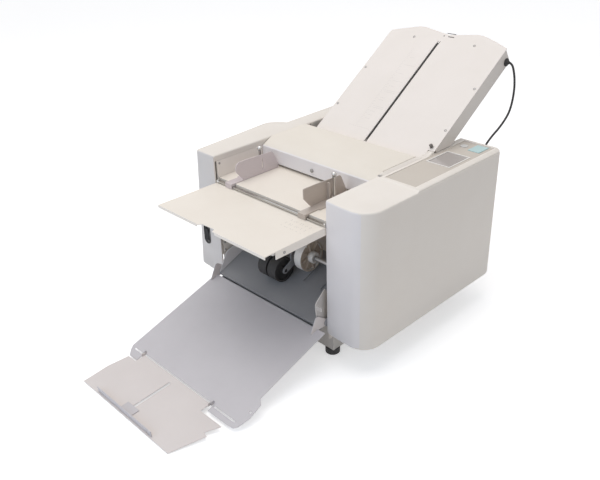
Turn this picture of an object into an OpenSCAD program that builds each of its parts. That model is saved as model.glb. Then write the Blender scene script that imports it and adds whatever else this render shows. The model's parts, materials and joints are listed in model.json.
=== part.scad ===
// Friction-feed paper folding machine for a desk.
// +X is to the operator's right, +Y runs into the machine, +Z is up, in millimetres.
// The modules are written with x = 0 on the left wall, y = 0 on the covers' front and z = 0 on the desk.

/* [Body] */
// Clear width between the two side walls
inner_w = 352; // [340:1:380]
// Width of the left cover at its front
left_w = 68; // [60:1:80]
// How far the left cover swells outward toward the back
left_swell = 20; // [12:1:26]
// Depth of the swelled part of the left cover
left_swell_d = 284; // [270:1:300]
// Width of the right cover
right_w = 115; // [105:1:130]
// Length of the side covers, front to back
cover_len = 478; // [470:1:500]
// Height of the covers' lower edge above the desk
cover_bot = 69; // [62:1:74]
// Height of the left cover's top
left_top = 401; // [400:0.5:402]
// Height of the right cover's top
right_top = 396; // [395:0.5:397]
// Rise of the right cover's top where the panel sits
panel_rise = 3; // [2:0.5:4]
// Wall of the moulded covers
cover_wall = 3; // [2.4:0.2:3.6]
// Radius of the right cover's front corner in plan
corner_r = 46; // [36:1:52]
// Radius of the right cover's back corner in plan
back_r = 22; // [14:1:30]
// Bow of the right cover's front face
front_bow = 5; // [3:0.5:7]

/* [Frame] */
// Thickness of the two side plates
plate_t = 4; // [3:0.5:5]
// Top of the side plates
plate_top = 386; // [380:1:388]
// Underside of the base pan
pan_bot = 17; // [15:1:20]
// Height of the pan's walls
pan_h = 62; // [58:1:66]
// Sheet thickness of pan, chute and bed
sheet = 2; // [1.5:0.1:2.4]
// Diameter of the rubber feet
foot_d = 34; // [28:1:40]
// Diameter of the tie rods
rod_d = 12; // [10:1:14]

/* [Feed] */
// Height of the feed table's top
table_z = 335; // [330:1:338]
// How far the feed table reaches out in front
table_len = 163; // [140:1:180]
// Depth of the table's side flanges
table_flange = 18; // [14:1:20]
// Width of the finger notch in the table's front edge
notch_w = 50; // [40:1:60]
// Step from the table up to the bed
bed_step = 10; // [9:0.5:11]
// Depth of the feed bed, front to back
bed_len = 193; // [190:1:196]
// Diameter of the feed roller
feed_d = 44; // [40:1:45]
// Distance from the covers' front to the feed roller
feed_y = 190; // [186:1:192]
// Height of a side guide above the bed
guide_h = 49; // [40:1:50]
// Inner face of the left guide
guide_left_x = 59.6; // [40:0.2:80]
// Sheet width between the two guides
sheet_w = 216; // [200:1:240]
// Diameter of the chrome guide pins
pin_d = 6; // [5:0.5:7]
// Diameter of the ball on a guide pin
ball_d = 11; // [9:0.5:12]

/* [Top cover] */
// Where the top cover's front face stands
top_y = 151; // [150:0.5:153]
// Height of the top cover
top_z = 403; // [402.5:0.5:405]
// Depth of the top cover's front face
top_face = 34; // [28:1:36]
// Depth of the sloped front of the top cover
top_slope = 35; // [25:1:40]
// Where the top cover's flat ends
top_back = 298; // [294:1:299]

/* [Upper fold plate] */
// Slope of the upper fold plate
fold_tilt = 33.8; // [32.5:0.1:35]
// Length of the plate above its reference line
fold_len = 312; // [290:1:330]
// Width of the upper fold plate
fold_w = 351; // [345:1:352]
// Left edge of the upper fold plate
fold_x = 15.5; // [14:0.5:16]
// Depth of the plate's box
fold_box = 40; // [36:0.5:42]
// Rise of the two humps at the plate's upper edge
hump = 28; // [20:1:32]
// Width of the slot that the stop's pointer runs in
slot_w = 4; // [3.5:0.5:6]
// Distance of the slot from the left wall
slot_x = 178.5; // [174:0.5:184]

/* [Rollers] */
// Diameter of the fold rollers
roll_d = 34; // [32:0.5:34.5]
// Gap in each nip
nip = 0.4; // [0.3:0.1:0.6]
// Diameter of the roller shafts
shaft_d = 10; // [8:0.5:11]
// Radial running clearance of shafts in their bores
run_c = 0.06; // [0.05:0.01:0.09]
// Teeth on each roller gear
teeth = 20; // [16:2:22]
// Width of the roller gears
gear_w = 10; // [8:1:12]

/* [Delivery] */
// Slope of the delivery chute
chute_tilt = 22; // [21:0.5:23]
// Diameter of the white stacker wheels
wheel_d = 75; // [68:1:76]
// Width of the white stacker wheels
wheel_w = 21; // [16:1:24]
// Diameter of the dark press wheels
press_d = 60; // [54:1:62]
// Width of the dark press wheels
press_w = 27; // [22:1:28]
// Slope of the delivery tray
tray_tilt = 17.9; // [17:0.1:18.6]
// Length of the delivery tray
tray_len = 266.5; // [255:0.5:272]
// Width of the delivery tray
tray_w = 372; // [366:1:378]
// Slope of the tray's extension
ext_tilt = 4.6; // [4:0.1:5]
// Length of the tray's extension
ext_len = 139; // [125:1:145]
// Height of the stop at the tray's end
stop_h = 13; // [10:1:18]
// Length of the stop at the tray's end
stop_w = 200; // [160:1:220]

/* [Panel] */
// Width of the control panel
panel_w = 80; // [76:1:84]
// Length of the control panel
panel_len = 296; // [286:1:300]
// Width of the display
disp_w = 56; // [50:1:60]
// Length of the display
disp_len = 76; // [66:1:80]
// Width of the start key
key_w = 30; // [24:1:32]
// Length of the start key
key_len = 42; // [34:1:44]
// Travel of the keys
key_travel = 1.2; // [0.8:0.1:1.5]

/* [Hidden] */
$fn = 48;
e = 0.01;
gap = 0.3;
// upper fold plate: reference line and the point at distance s along it, o above it
fy = 361.6; fz = 413.8;
function ws(s, o) = [fy + s * cos(fold_tilt) - o * sin(fold_tilt), fz + s * sin(fold_tilt) + o * cos(fold_tilt)];
pitch = roll_d + nip;
path_o = -12;
nip_s = -75;
ra = ws(nip_s, path_o + pitch / 2);
rb = ws(nip_s, path_o - pitch / 2);
c_drop = path_o - 2 - roll_d / 2;
rc = ws(nip_s + sqrt(pitch * pitch - pow(c_drop - (path_o - pitch / 2), 2)), c_drop);
rd = ws(nip_s, path_o - 1.5 * pitch);
// gears' left faces, and the motor's pinion in mesh with gear b
gear_x0 = -plate_t - 3 - gear_w;
pin_teeth = 12; pin_r = pitch / 2 * pin_teeth / teeth; pin_dir = 200;
pin_p = [rb[0] + (pitch / 2 + pin_r) * cos(pin_dir), rb[1] + (pitch / 2 + pin_r) * sin(pin_dir)];
bed_z = table_z + bed_step;
rf = [feed_y, bed_z + feed_d / 2 + 0.6];
// delivery
chute_y0 = 4; chute_z0 = 111;
chute_front = -18; chute_back = 150;
gland_s = 295; gland_o = -29;
stop_s = 190; rail_top = 5;
function chute_z(y) = chute_z0 + (y - chute_y0) * tan(chute_tilt);
wheel_y = 87;
wheel_z = chute_z(wheel_y) + (wheel_d / 2 + 1.6) / cos(chute_tilt);
press_y = 35;
press_z = chute_z(press_y) + (press_d / 2 + 1.6) / cos(chute_tilt);
tray_y0 = -22; tray_z0 = 97.1;
hinge_y = 8; hinge_z = 101;
hinge_r = 4;
// the extension's pins, this far above both sheets
ext_axis = 3.2;
ext_y = tray_y0 - (tray_len + 2) * cos(tray_tilt) - ext_axis * sin(tray_tilt);
ext_z = tray_z0 - (tray_len + 2) * sin(tray_tilt) + ext_axis * cos(tray_tilt);
// top cover's pivot
piv_y = 314; piv_z = 390; piv_r = 3;
guide_right_x = guide_left_x + sheet_w;
guide_y0 = 16; guide_y1 = 148;
rail_y = 2; rail_w = 6; rail_z = table_z + 2; rail_h = 4;
rod_pos = [[30, 92], [455, 92], [455, 300], [250, 120]];
panel_x0 = inner_w + 17; panel_y0 = 170;
panel_z = right_top + panel_rise;
disp_y0 = panel_y0 + 134; disp_x0 = panel_x0 + 12;
key_x0 = panel_x0 + 40; key_y0 = panel_y0 + panel_len - 48;
// keys: lower face, and the top that stands above the panel by the travel
key_z = panel_z - 3.7; key_top = panel_z - 0.8 + key_travel;
oval_x = panel_x0 + 19; oval_y = panel_y0 + panel_len - 30;
sw_x = -left_w + 16; sw_z = 181;
// left cover's outline
swell_x = left_w + left_swell;
// cable points from the plate's gland down to the body's socket, round numbers
cable_pts = [[373.5, 623, 554], [379, 623, 553], [385, 623, 547], [389, 624, 535], [393, 624, 518], [397, 621, 494],
    [400, 613, 467], [402, 600, 444], [403, 580, 427], [404, 556, 414], [404, 532, 403], [404, 512, 392],
    [404, 499, 381], [404, 491, 375.5], [404, 484, 374]];
cable_r = 2.2; cable_n = 8;
// the part's origin: middle of its footprint, on the desk
x_mid = (inner_w + right_w - swell_x) / 2;
y_back = ws(fold_len + hump, -1.5)[0];
y_front = ext_y + ext_axis * sin(ext_tilt) - ext_len * cos(ext_tilt);
y_mid = (y_back + y_front) / 2;

module place() { translate([-x_mid, -y_mid, 0]) children(); }
module on_fold() { translate([0, fy, fz]) rotate([fold_tilt, 0, 0]) children(); }
module on_chute() { translate([0, chute_y0, chute_z0]) rotate([chute_tilt, 0, 0]) children(); }
module on_tray() { translate([0, tray_y0, tray_z0]) rotate([tray_tilt, 0, 0]) children(); }
module on_ext() { translate([0, ext_y, ext_z]) rotate([ext_tilt, 0, 0]) translate([0, 0, -ext_axis]) children(); }
// the lower fold plate runs square to the upper one, down and back from the nip of rollers b and c
lower_s = nip_s + pitch / 2;
module on_lower() { p = ws(lower_s, path_o - pitch / 2);
    translate([0, p[0], p[1]]) rotate([fold_tilt - 90, 0, 0]) children(); }
// a cylinder along X from x0 to x1 at y, z
module xcyl(x0, x1, p, r) { translate([x0, p[0], p[1]]) rotate([0, 90, 0]) cylinder(r = r, h = x1 - x0); }
module box(x0, x1, y0, y1, z0, z1) { translate([x0, y0, z0]) cube([x1 - x0, y1 - y0, z1 - z0]); }
module screw(d, h) { cylinder(d = d, h = h * 0.6); translate([0, 0, h * 0.6 - e]) cylinder(d1 = d, d2 = d * 0.6, h = h * 0.4); }

// ---------- frame ----------
module base_frame() color([0.78, 0.77, 0.74]) difference() {
    box(0, inner_w, 24, cover_len - 8, pan_bot, pan_bot + pan_h);
    box(sheet, inner_w - sheet, 24 + sheet, cover_len - 8 - sheet, pan_bot + sheet, pan_bot + pan_h + 1);
    for (x = [0, 1], y = [0, 1])
        translate([15 + x * (inner_w - 30), 38 + y * (cover_len - 60), pan_bot - 1]) cylinder(d = 6, h = sheet + 2);
    for (i = [0:5]) box(70 + i * 40, 90 + i * 40, 120, 330, pan_bot - 1, pan_bot + sheet + 1);
}
module feet() color([0.1, 0.1, 0.1]) for (x = [0, 1], y = [0, 1])
    translate([15 + x * (inner_w - 30), 38 + y * (cover_len - 60), 0]) difference() {
        rotate_extrude() polygon([[0, 0], [foot_d / 2 - 2, 0], [foot_d / 2, 2], [foot_d / 2, pan_bot], [0, pan_bot]]);
        translate([0, 0, -1]) cylinder(d = 12, h = 5);
    }
module side_plate(x0) difference() {
    union() {
        box(x0, x0 + plate_t, cover_wall + front_bow + 0.6, cover_len - 5, pan_bot + pan_h - 20, plate_top);
        // ear for the top cover's pivot
        xcyl(x0, x0 + plate_t, [piv_y, piv_z], 6.3);
    }
    for (p = [ra, rb, rc, rd, rf]) xcyl(x0 - 1, x0 + plate_t + 1, p, shaft_d / 2 + run_c);
    xcyl(x0 - 1, x0 + plate_t + 1, [wheel_y, wheel_z], shaft_d / 2 + run_c);
}
module side_plates() color([0.72, 0.71, 0.70]) { side_plate(-plate_t); side_plate(inner_w); }
module tie_rods() color([0.6, 0.6, 0.62]) for (p = rod_pos) {
    xcyl(0, inner_w, p, rod_d / 2);
}
// ---------- covers ----------
module left_outline(i) {
    // front part with the swell, rounded back corner, then the narrower rear strip
    polygon([[-i, i], [-left_w + 8 + i, i], [-left_w + 2 + i, 3 + i], [-left_w + i, 9 + i],
        [-swell_x + i, left_swell_d - 46], [-swell_x + 3 + i, left_swell_d - 32 - i], [-swell_x + 12 + i, left_swell_d - 18 - i],
        [-swell_x + 25 + i, left_swell_d - 6 - i], [-50 + i, left_swell_d - i], [-56 + i, cover_len - 8 - i],
        [-50 + i, cover_len - i], [-i, cover_len - i]]);
}
module left_front_outline(i) {
    polygon([[-i, i], [-left_w + 8 + i, i], [-left_w + 2 + i, 3 + i], [-left_w + i, 9 + i],
        [-swell_x + i, left_swell_d - 46], [-swell_x + 3 + i, left_swell_d - 32 - i], [-swell_x + 12 + i, left_swell_d - 18 - i],
        [-swell_x + 25 + i, left_swell_d - 6 - i], [-50 + i, left_swell_d - i], [-i, left_swell_d - i]]);
}
module left_rear_outline(i) {
    polygon([[-i, left_swell_d - 30 + i], [-50 + i, left_swell_d - 30 + i], [-56 + i, cover_len - 8 - i], [-50 + i, cover_len - i], [-i, cover_len - i]]);
}
// a closed tub form: chamfered lower edge, straight wall, rounded upper edge
module tub(z0, z1, w, low, r) hull() {
    translate([0, 0, z0]) linear_extrude(e) children(0);
    translate([0, 0, z0 + low]) linear_extrude(e) children(1);
    translate([0, 0, z1 - r]) linear_extrude(e) children(1);
    translate([0, 0, z1 - r * 0.3]) linear_extrude(e) children(2);
    translate([0, 0, z1 - e]) linear_extrude(e) children(3);
}
module left_cover() color([0.90, 0.87, 0.82]) difference() {
    intersection() {
        union() {
            tub(cover_bot, left_top, 0, 22, 4) { left_front_outline(9); left_front_outline(0); left_front_outline(1.2); left_front_outline(4); }
            tub(cover_bot, left_top, 0, 22, 4) { left_rear_outline(9); left_rear_outline(0); left_rear_outline(1.2); left_rear_outline(4); }
        }
        box(-swell_x - 1, -gap, -1, cover_len + 1, cover_bot - 1, left_top + 1);
    }
    // hollow, open to the side plate and below
    difference() {
        linear_extrude(left_top - cover_wall) left_outline(cover_wall);
        box(-left_w - 30, 1, -1, cover_wall, 0, 500);
    }
    box(-plate_t - gap, 1, cover_wall + 0.4, cover_len - cover_wall - 0.4, cover_bot - 1, plate_top + gap);
    box(-plate_t - gap, 1, piv_y - 8, piv_y + 8, plate_top, piv_z + 7);
    // opening for the power switch
    box(sw_x - 8.5, sw_x + 8.5, -1, cover_wall + 6, sw_z - 21.5, sw_z + 21.5);
}
// right cover in plan: bowed front, round front corner, smaller back corner
function right_pts(i) = let (xc = inner_w + right_w - corner_r, yb = cover_len - back_r, xi = inner_w + gap) concat(
    [for (k = [0:8]) let (x = xi + (xc - xi) * k / 8, t = (xc - x) / (xc - xi)) [x, i + front_bow * t * t]],
    [for (k = [1:12]) let (a = -90 + 90 * k / 12) [xc + (corner_r - i) * cos(a), corner_r + (corner_r - i) * sin(a)]],
    [for (k = [0:8]) let (a = 90 * k / 8) [inner_w + right_w - back_r + (back_r - i) * cos(a), yb + (back_r - i) * sin(a)]],
    [[xi, cover_len - i]]);
// the raised rear part of its top, from y0 back
function rear_pts(i, y0) = let (yb = cover_len - back_r, xi = inner_w + gap) concat(
    [[xi, y0], [inner_w + right_w - i, y0]],
    [for (k = [0:8]) let (a = 90 * k / 8) [inner_w + right_w - back_r + (back_r - i) * cos(a), yb + (back_r - i) * sin(a)]],
    [[xi, cover_len - i]]);
// a body through rings of equal point counts at heights zs
module rings(zs, r) { n = len(r[0]); m = len(zs);
    polyhedron(points = [for (j = [0:m - 1], p = r[j]) [p[0], p[1], zs[j]]], faces = concat(
        [[for (k = [0:n - 1]) k]], [[for (k = [n - 1:-1:0]) (m - 1) * n + k]],
        [for (j = [0:m - 2], k = [0:n - 1]) [j * n + k, (j + 1) * n + k, (j + 1) * n + (k + 1) % n, j * n + (k + 1) % n]])); }
module right_plan(i) { polygon(right_pts(i)); }
module right_cover() color([0.90, 0.87, 0.82]) difference() {
    union() {
        rings([cover_bot, cover_bot + 9, right_top - 4, right_top - 1.2, right_top],
            [right_pts(5), right_pts(0), right_pts(0), right_pts(1.2), right_pts(4)]);
        rings([right_top - 5, right_top + panel_rise - 2, right_top + panel_rise], [rear_pts(2.5, 148), rear_pts(1.4, 160), rear_pts(3.6, 163)]);
    }
    translate([0, 0, cover_bot - 1]) linear_extrude(right_top - cover_wall - cover_bot + 1) difference() {
        right_plan(cover_wall);
        translate([inner_w - 1, -1]) square([2 + cover_wall, cover_len + 2]);
    }
    box(inner_w - 1, inner_w + plate_t + gap, cover_wall + front_bow + 0.4, cover_len - cover_wall - 0.4, cover_bot - 2, plate_top + gap);
    box(inner_w - 1, inner_w + plate_t + gap, piv_y - 8, piv_y + 8, plate_top, piv_z + 7);
    // recess for the panel and wells for the keys under it
    box(panel_x0 - gap, panel_x0 + panel_w + gap, panel_y0 - gap, panel_y0 + panel_len + gap, panel_z - 2.5, panel_z + 1);
    box(key_x0 - 2, key_x0 + key_w + 2, key_y0 - 2, key_y0 + key_len + 2, key_z - key_travel - 0.1, panel_z + 1);
    translate([oval_x, oval_y, key_z - key_travel - 0.1]) cylinder(d = 22, h = 20);
    // opening where the cable's socket sits
    translate([404, cover_len + 1, 374]) rotate([90, 0, 0]) cylinder(d = 12.6, h = cover_wall + 2);
}
module rear_panel() color([0.86, 0.84, 0.80]) difference() {
    union() {
        box(gap, inner_w - gap, cover_len - 4.6, cover_len - 4.6 + sheet, pan_bot + pan_h + 1, 330);
        box(gap, inner_w - gap, 405, cover_len - 4.6 + sheet, 328, 330);
    }
    for (i = [0:8]) box(60 + i * 24, 72 + i * 24, cover_len - 6, cover_len, 110, 150);
    box(280, 308, cover_len - 6, cover_len, 188, 212);
    // holes for the inlet's flange screws
    for (x = [274, 314]) translate([x, cover_len, 200]) rotate([90, 0, 0]) cylinder(d = 3.4, h = 10);
}
module mains_inlet() color([0.08, 0.08, 0.08]) difference() {
    union() {
        box(269, 319, cover_len - 2.6, cover_len - 0.1, 186, 214);
        box(280.3, 307.7, cover_len - 24, cover_len - 2, 188.3, 211.7);
    }
    box(283, 305, cover_len - 20, cover_len + 1, 191, 209);
    for (x = [274, 314]) translate([x, cover_len, 200]) rotate([90, 0, 0]) cylinder(d = 3.4, h = 10);
}
// ---------- feed ----------
module feed_bed() color([0.87, 0.86, 0.82]) difference() {
    union() {
        box(gap, inner_w - gap, 12, 12 + bed_len, bed_z - sheet, bed_z);
        box(gap, inner_w - gap, 12, 12 + sheet, bed_z - bed_step - 6, bed_z);
        for (x = [gap, inner_w - gap - sheet]) box(x, x + sheet, 12, 12 + bed_len, bed_z - 16, bed_z);
    }
    box(140, 212, feed_y - 14, feed_y + 13, bed_z - 5, bed_z + 1);
}
module sheet_guides() { infeed_guide(); exit_guide(); }
module infeed_guide() color([0.6, 0.6, 0.62]) translate([0, 12 + bed_len + 0.5, bed_z - sheet]) rotate([6, 0, 0]) difference() {
    cube([inner_w - 2 * gap, rb[0] - roll_d / 2 - 12 - bed_len - 3, 1.5]);
    translate([-1, -1, -1]) cube([gap + 1, 200, 5]);
}
module separator_pad() color([0.22, 0.16, 0.13]) {
    box(150, 202, feed_y - 13, feed_y + 12, bed_z - 6, bed_z - 3);
    box(160, 192, feed_y - 8, feed_y + 8, bed_z - 3 - e, bed_z + 0.1);
    box(140 - 12, 212 + 12, feed_y - 13, feed_y + 12, bed_z - 8, bed_z - 6 + e);
    for (x = [128, 216]) box(x, x + 8, feed_y - 13, feed_y + 12, bed_z - 8, bed_z - sheet);
}
module guide_rail() color([0.75, 0.75, 0.77]) {
    box(0, inner_w, rail_y, rail_y + rail_w, rail_z, rail_z + rail_h);
    for (x = [4, inner_w - 4]) translate([x, rail_y + rail_w / 2, rail_z + rail_h - e]) screw(5.5, 2.2);
    for (x = [0, inner_w - 8]) box(x, x + 8, rail_y, rail_y + rail_w, table_z, rail_z + e);
}
module feed_table() color([0.92, 0.89, 0.83]) difference() {
    union() {
        difference() {
            box(1, inner_w - 1, -table_len, 11, table_z - sheet, table_z);
            // shallow finger notch in the front edge
            translate([170, -table_len - 4, table_z - 5]) linear_extrude(10) polygon([[-notch_w / 2 - 6, -2], [-notch_w / 2 + 6, 12],
                [notch_w / 2 - 8, 14], [notch_w / 2, -2]]);
        }
        box(1, 140, -table_len, -table_len + sheet, table_z - 7, table_z);
        box(198, inner_w - 1, -table_len, -table_len + sheet, table_z - 7, table_z);
        for (x = [1, inner_w - 1 - sheet]) difference() {
            box(x, x + sheet, -134, 11, table_z - table_flange, table_z);
            translate([x - 1, -134 - e, table_z - sheet]) rotate([-38, 0, 0]) translate([0, -40, -60]) cube([sheet + 2, 40, 60]);
        }
    }
    for (x = [1, inner_w - 1 - sheet], y = [-112]) xcyl(x - 1, x + sheet + 1, [y, table_z - 10], 2.2);
}
module wall_brackets() color([0.55, 0.55, 0.57]) { table_brackets(); fold_plate_brackets(); }
module table_brackets() {
    // rails on the side walls that carry the table, and the support arms under it
    for (x = [0, inner_w - 6]) box(x, x + 6, 11.5, 120, table_z - sheet - 22, bed_z - 16);
    for (s = [0, 1]) translate([s * inner_w, 0, 0]) mirror([s, 0, 0]) {
        box(3.4, 6, -120, 11.9, table_z - 16, table_z - sheet);
        difference() { box(3.4, 30, -140, -118, table_z - 8, table_z - sheet); box(8, 26, -136, -122, table_z - 10, table_z - 4); }
    }
}
module body_screws() color([0.7, 0.7, 0.72]) {
    for (p = [[inner_w - 1, 1], [1, -1]]) translate([p[0], -112, table_z - 10]) rotate([0, 90 * p[1], 0]) {
        screw(6, 2);
        translate([0, 0, -sheet]) cylinder(d = 4.2, h = sheet + e);
    }
    for (p = [[16, 379], [12.5, 172], [12.5, 152]]) { translate([0, p[0], p[1]]) rotate([0, 90, 0]) screw(5, 1.6); }
    for (y = [40, 440], z = [70]) translate([sheet, y, z]) rotate([0, 90, 0]) screw(7, 2);
    for (x = [274, 314]) translate([x, cover_len - 0.1, 200]) rotate([-90, 0, 0]) {
        screw(5.6, 1.6);
        translate([0, 0, -5]) cylinder(d = 3, h = 5 + e);
    }
}
module cover_knob() color([0.75, 0.74, 0.72]) translate([170, top_y, top_z - 38]) rotate([90, 0, 0]) { cylinder(d = 9, h = 3); cylinder(d = 6, h = 4); }
module guide(side) {
    // side = 1: outward is +x.  Sheet plate with slanted ends, foot on the bed, shoe on the rail
    z0 = bed_z + 0.4; zt = bed_z + guide_h;
    color([0.66, 0.64, 0.61]) difference() {
        union() {
            translate([side > 0 ? 0 : -sheet, 0, 0]) rotate([90, 0, 90]) linear_extrude(sheet) difference() {
                union() {
                    polygon([[guide_y0 + 24, z0], [guide_y1, z0], [guide_y1, z0 + 8], [guide_y1 - 16, zt - 6], [guide_y1 - 20, zt - 3],
                        [guide_y0 + 36, zt], [guide_y0 + 14, zt], [guide_y0 + 4, zt - 8], [guide_y0, zt - 22], [guide_y0 + 16, z0 + 8]]);
                    translate([guide_y0 + 15, zt - 15]) circle(r = 15);
                }
                translate([guide_y0 + 80, z0 + 10]) square([3, guide_h - 22]);
            }
            fx = side > 0 ? 0 : -26;
            box(fx, fx + 26, guide_y0 + 24, guide_y1, z0, z0 + sheet);
            bx = side > 0 ? 0 : -22;
            box(bx, bx + 22, -0.6, guide_y0 + 26, z0, z0 + sheet);
            box(bx, bx + 22, -0.6, 10.8, table_z + 0.5, z0 + sheet);
            // folded stiffener beside the pin
            sx = side > 0 ? sheet - e : -sheet - 8 + e;
            box(sx, sx + 8, guide_y0 + 70, guide_y0 + 73, z0, zt - 6);
            px = side > 0 ? 11 : -11;
            translate([px, guide_y0 + 84, z0]) cylinder(d = pin_d + 6, h = 9);
        }
        box(-30, 30, rail_y - gap, rail_y + rail_w + gap, rail_z - gap, rail_z + rail_h + gap);
        // open below the rail so that the shoe straddles it
        box(-30, 30, rail_y + 1.2, rail_y + rail_w - 1.2, table_z, rail_z);
        px = side > 0 ? 11 : -11;
        translate([px, guide_y0 + 84, z0 + 2]) cylinder(d = pin_d, h = 20);
    }
}
module guide_left() translate([guide_left_x, 0, 0]) guide(-1);
module guide_right() translate([guide_right_x, 0, 0]) guide(1);
module guide_pin() color([0.85, 0.85, 0.87]) {
    zb = bed_z + 2.4;
    cylinder(d = pin_d, h = guide_h + 4);
    translate([0, 0, guide_h - 2]) cylinder(d1 = pin_d, d2 = pin_d + 3, h = 5);
    translate([0, 0, guide_h + 8]) sphere(d = ball_d, $fn = 40);
}
module guide_pin_left() translate([guide_left_x - 11, guide_y0 + 84, bed_z + 2.4]) guide_pin();
module guide_pin_right() translate([guide_right_x + 11, guide_y0 + 84, bed_z + 2.4]) guide_pin();
// ---------- top cover ----------
module top_cover() color([0.92, 0.89, 0.83]) difference() {
    union() {
        difference() {
            translate([1, 0, 0]) rotate([90, 0, 90]) linear_extrude(inner_w - 2) polygon([[top_y, top_z - 18 - top_face], [top_y, top_z - 18],
                [top_y + 2, top_z - 15.5], [top_y + top_slope, top_z], [top_back, top_z], [318, 388.5], [316.5, 387],
                [top_back - 1, top_z - sheet], [top_y + top_slope + 0.6, top_z - sheet], [top_y + sheet, top_z - 18.8], [top_y + sheet, top_z - 18 - top_face]]);
        }
        // end cheeks that carry the pivot
        for (x = [1, inner_w - 3]) translate([x, 0, 0]) rotate([90, 0, 90]) linear_extrude(sheet) union() {
            polygon([[top_y + 1, top_z - 18 - top_face], [top_y + 1, top_z - 18], [top_y + top_slope, top_z - 1], [top_back, top_z - 1],
                [317, 389], [308, 385], [top_back - 26, 396], [top_y + top_slope + 14, 393.5], [top_y + 14, top_z - 18 - top_face + 8]]);
            translate([piv_y, piv_z]) circle(r = 5);
        }
        // pull flange along the lower front
        box(1, inner_w - 1, top_y, top_y + 12, top_z - 18 - top_face, top_z - 18 - top_face + sheet);
    }
    for (x = [0, inner_w - 3.8]) xcyl(x, x + 3.8, [piv_y, piv_z], piv_r + run_c);
}
// ---------- rollers ----------
module gear2d(t, pr) {
    m = 2 * pr / t;
    union() {
        circle(r = pr - 1.2 * m);
        for (i = [0:t - 1]) rotate(i * 360 / t) polygon([[pr - 1.5 * m, -0.66 * m], [pr - 1.5 * m, 0.66 * m],
            [pr, 0.56 * m], [pr + 0.85 * m, 0.3 * m], [pr + 0.85 * m, -0.3 * m], [pr, -0.56 * m]]);
    }
}
// a gear on the left end of the roller at p; dir is the direction from roller b to it, seen from the right
module gear_at(p, dir, centre) color([0.9, 0.9, 0.88]) translate([gear_x0, p[0], p[1]]) rotate([90, 0, 90])
    rotate(centre ? 0 : 2 * dir + 180 + 180 / teeth) linear_extrude(gear_w) difference() {
        gear2d(teeth, pitch / 2);
        circle(r = shaft_d / 2 + run_c);
    }
// the motor's pinion meshes with gear b from the front
module drive_pinion() color([0.75, 0.75, 0.77]) {
    translate([gear_x0, pin_p[0], pin_p[1]]) rotate([90, 0, 90]) rotate(pin_dir * (1 + teeth / pin_teeth) + 180 + 180 / pin_teeth)
        linear_extrude(gear_w) gear2d(pin_teeth, pin_r);
    xcyl(gear_x0 - 7, gear_x0 + 1, pin_p, 3);
}
module drive_motor() color([0.2, 0.2, 0.21]) difference() {
    union() {
        xcyl(-45, gear_x0 - 3, pin_p, 25);
        xcyl(gear_x0 - 3 - e, gear_x0 - 1, pin_p, 8);
        // stand-offs on the side plate
        for (a = [90, 180, 270]) xcyl(gear_x0 - 3 - e, -plate_t, [pin_p[0] + 20 * cos(pin_dir + 180 + a), pin_p[1] + 20 * sin(pin_dir + 180 + a)], 3);
    }
    xcyl(gear_x0 - 8, gear_x0, pin_p, 3 + run_c);
}
function dir_of(p) = atan2(p[1] - rb[1], p[0] - rb[0]);
module gear_a() gear_at(ra, dir_of(ra), false);
module gear_b() gear_at(rb, 0, true);
module gear_c() gear_at(rc, dir_of(rc), false);
module gear_d() gear_at(rd, dir_of(rd), false);
module roller(p, r, grooves) color([0.18, 0.18, 0.19]) difference() {
    xcyl(6, inner_w - 6, p, r);
    for (i = [0:grooves - 1]) {
        xg = 40 + i * (inner_w - 80) / (grooves - 1);
        difference() { xcyl(xg - 3, xg + 3, p, r + 1); xcyl(xg - 4, xg + 4, p, r - 2); }
    }
}
module fold_roller(p) { roller(p, roll_d / 2, 5); color([0.7, 0.7, 0.72]) xcyl(gear_x0, 6 + e, p, shaft_d / 2);
    color([0.7, 0.7, 0.72]) xcyl(inner_w - 6 - e, inner_w + plate_t + 4, p, shaft_d / 2); }
module fold_roller_a() fold_roller(ra);
module fold_roller_b() fold_roller(rb);
module fold_roller_c() fold_roller(rc);
module fold_roller_d() fold_roller(rd);
module feed_roller() {
    color([0.7, 0.7, 0.72]) xcyl(-plate_t - 6, inner_w + plate_t + 4, rf, shaft_d / 2);
    color([0.15, 0.15, 0.16]) for (x = [152, 182]) xcyl(x, x + 18, rf, feed_d / 2);
    color([0.8, 0.8, 0.78]) xcyl(146, 206, rf, shaft_d / 2 + 4);
}
// ---------- delivery ----------
module chute() color([0.36, 0.36, 0.38]) on_chute() difference() {
    union() {
        translate([9, (chute_front - chute_y0) / cos(chute_tilt), -sheet]) cube([inner_w - 18, (chute_back - chute_front) / cos(chute_tilt), sheet]);
        translate([9, (chute_front - chute_y0) / cos(chute_tilt), -8]) cube([inner_w - 18, sheet, 8]);
    }
    for (i = [0:4]) translate([60 + i * 55, 60, -10]) cube([12, 70, 20]);
}
module chute_walls() color([0.70, 0.69, 0.67]) {
    chute_side(0);
    chute_side(1);
    // the right wall's tall front bracket with a lip bent outward
    translate([inner_w - 9, 0, 0]) rotate([90, 0, 90]) linear_extrude(sheet) polygon([[-16, chute_z(-16) - 8], [14, chute_z(14) - 8], [14, 176],
        [6, 185], [-20, 162], [-23, 156], [-23, 146]]);
    box(inner_w - 9, inner_w + 10, -23, -21, 147, 157);
}
module chute_side(s) translate([s * inner_w, 0, 0]) mirror([s, 0, 0]) {
    // side walls of the chute, bent out to the frame
    translate([9 - sheet, 0, 0]) rotate([90, 0, 90]) linear_extrude(sheet) polygon([[-16, chute_z(-16) - 8], [-16, chute_z(-16) + 3],
        [6, chute_z(6) + 34], [16, chute_z(16) + 38], [140, chute_z(140) + 12], [140, chute_z(140) - 8]]);
    box(0, 9 - sheet + e, 60, 62, chute_z(60) - 6, chute_z(60) + 16);
    box(0, 9 - sheet + e, 120, 122, chute_z(120) - 6, chute_z(120) + 10);
}
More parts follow.
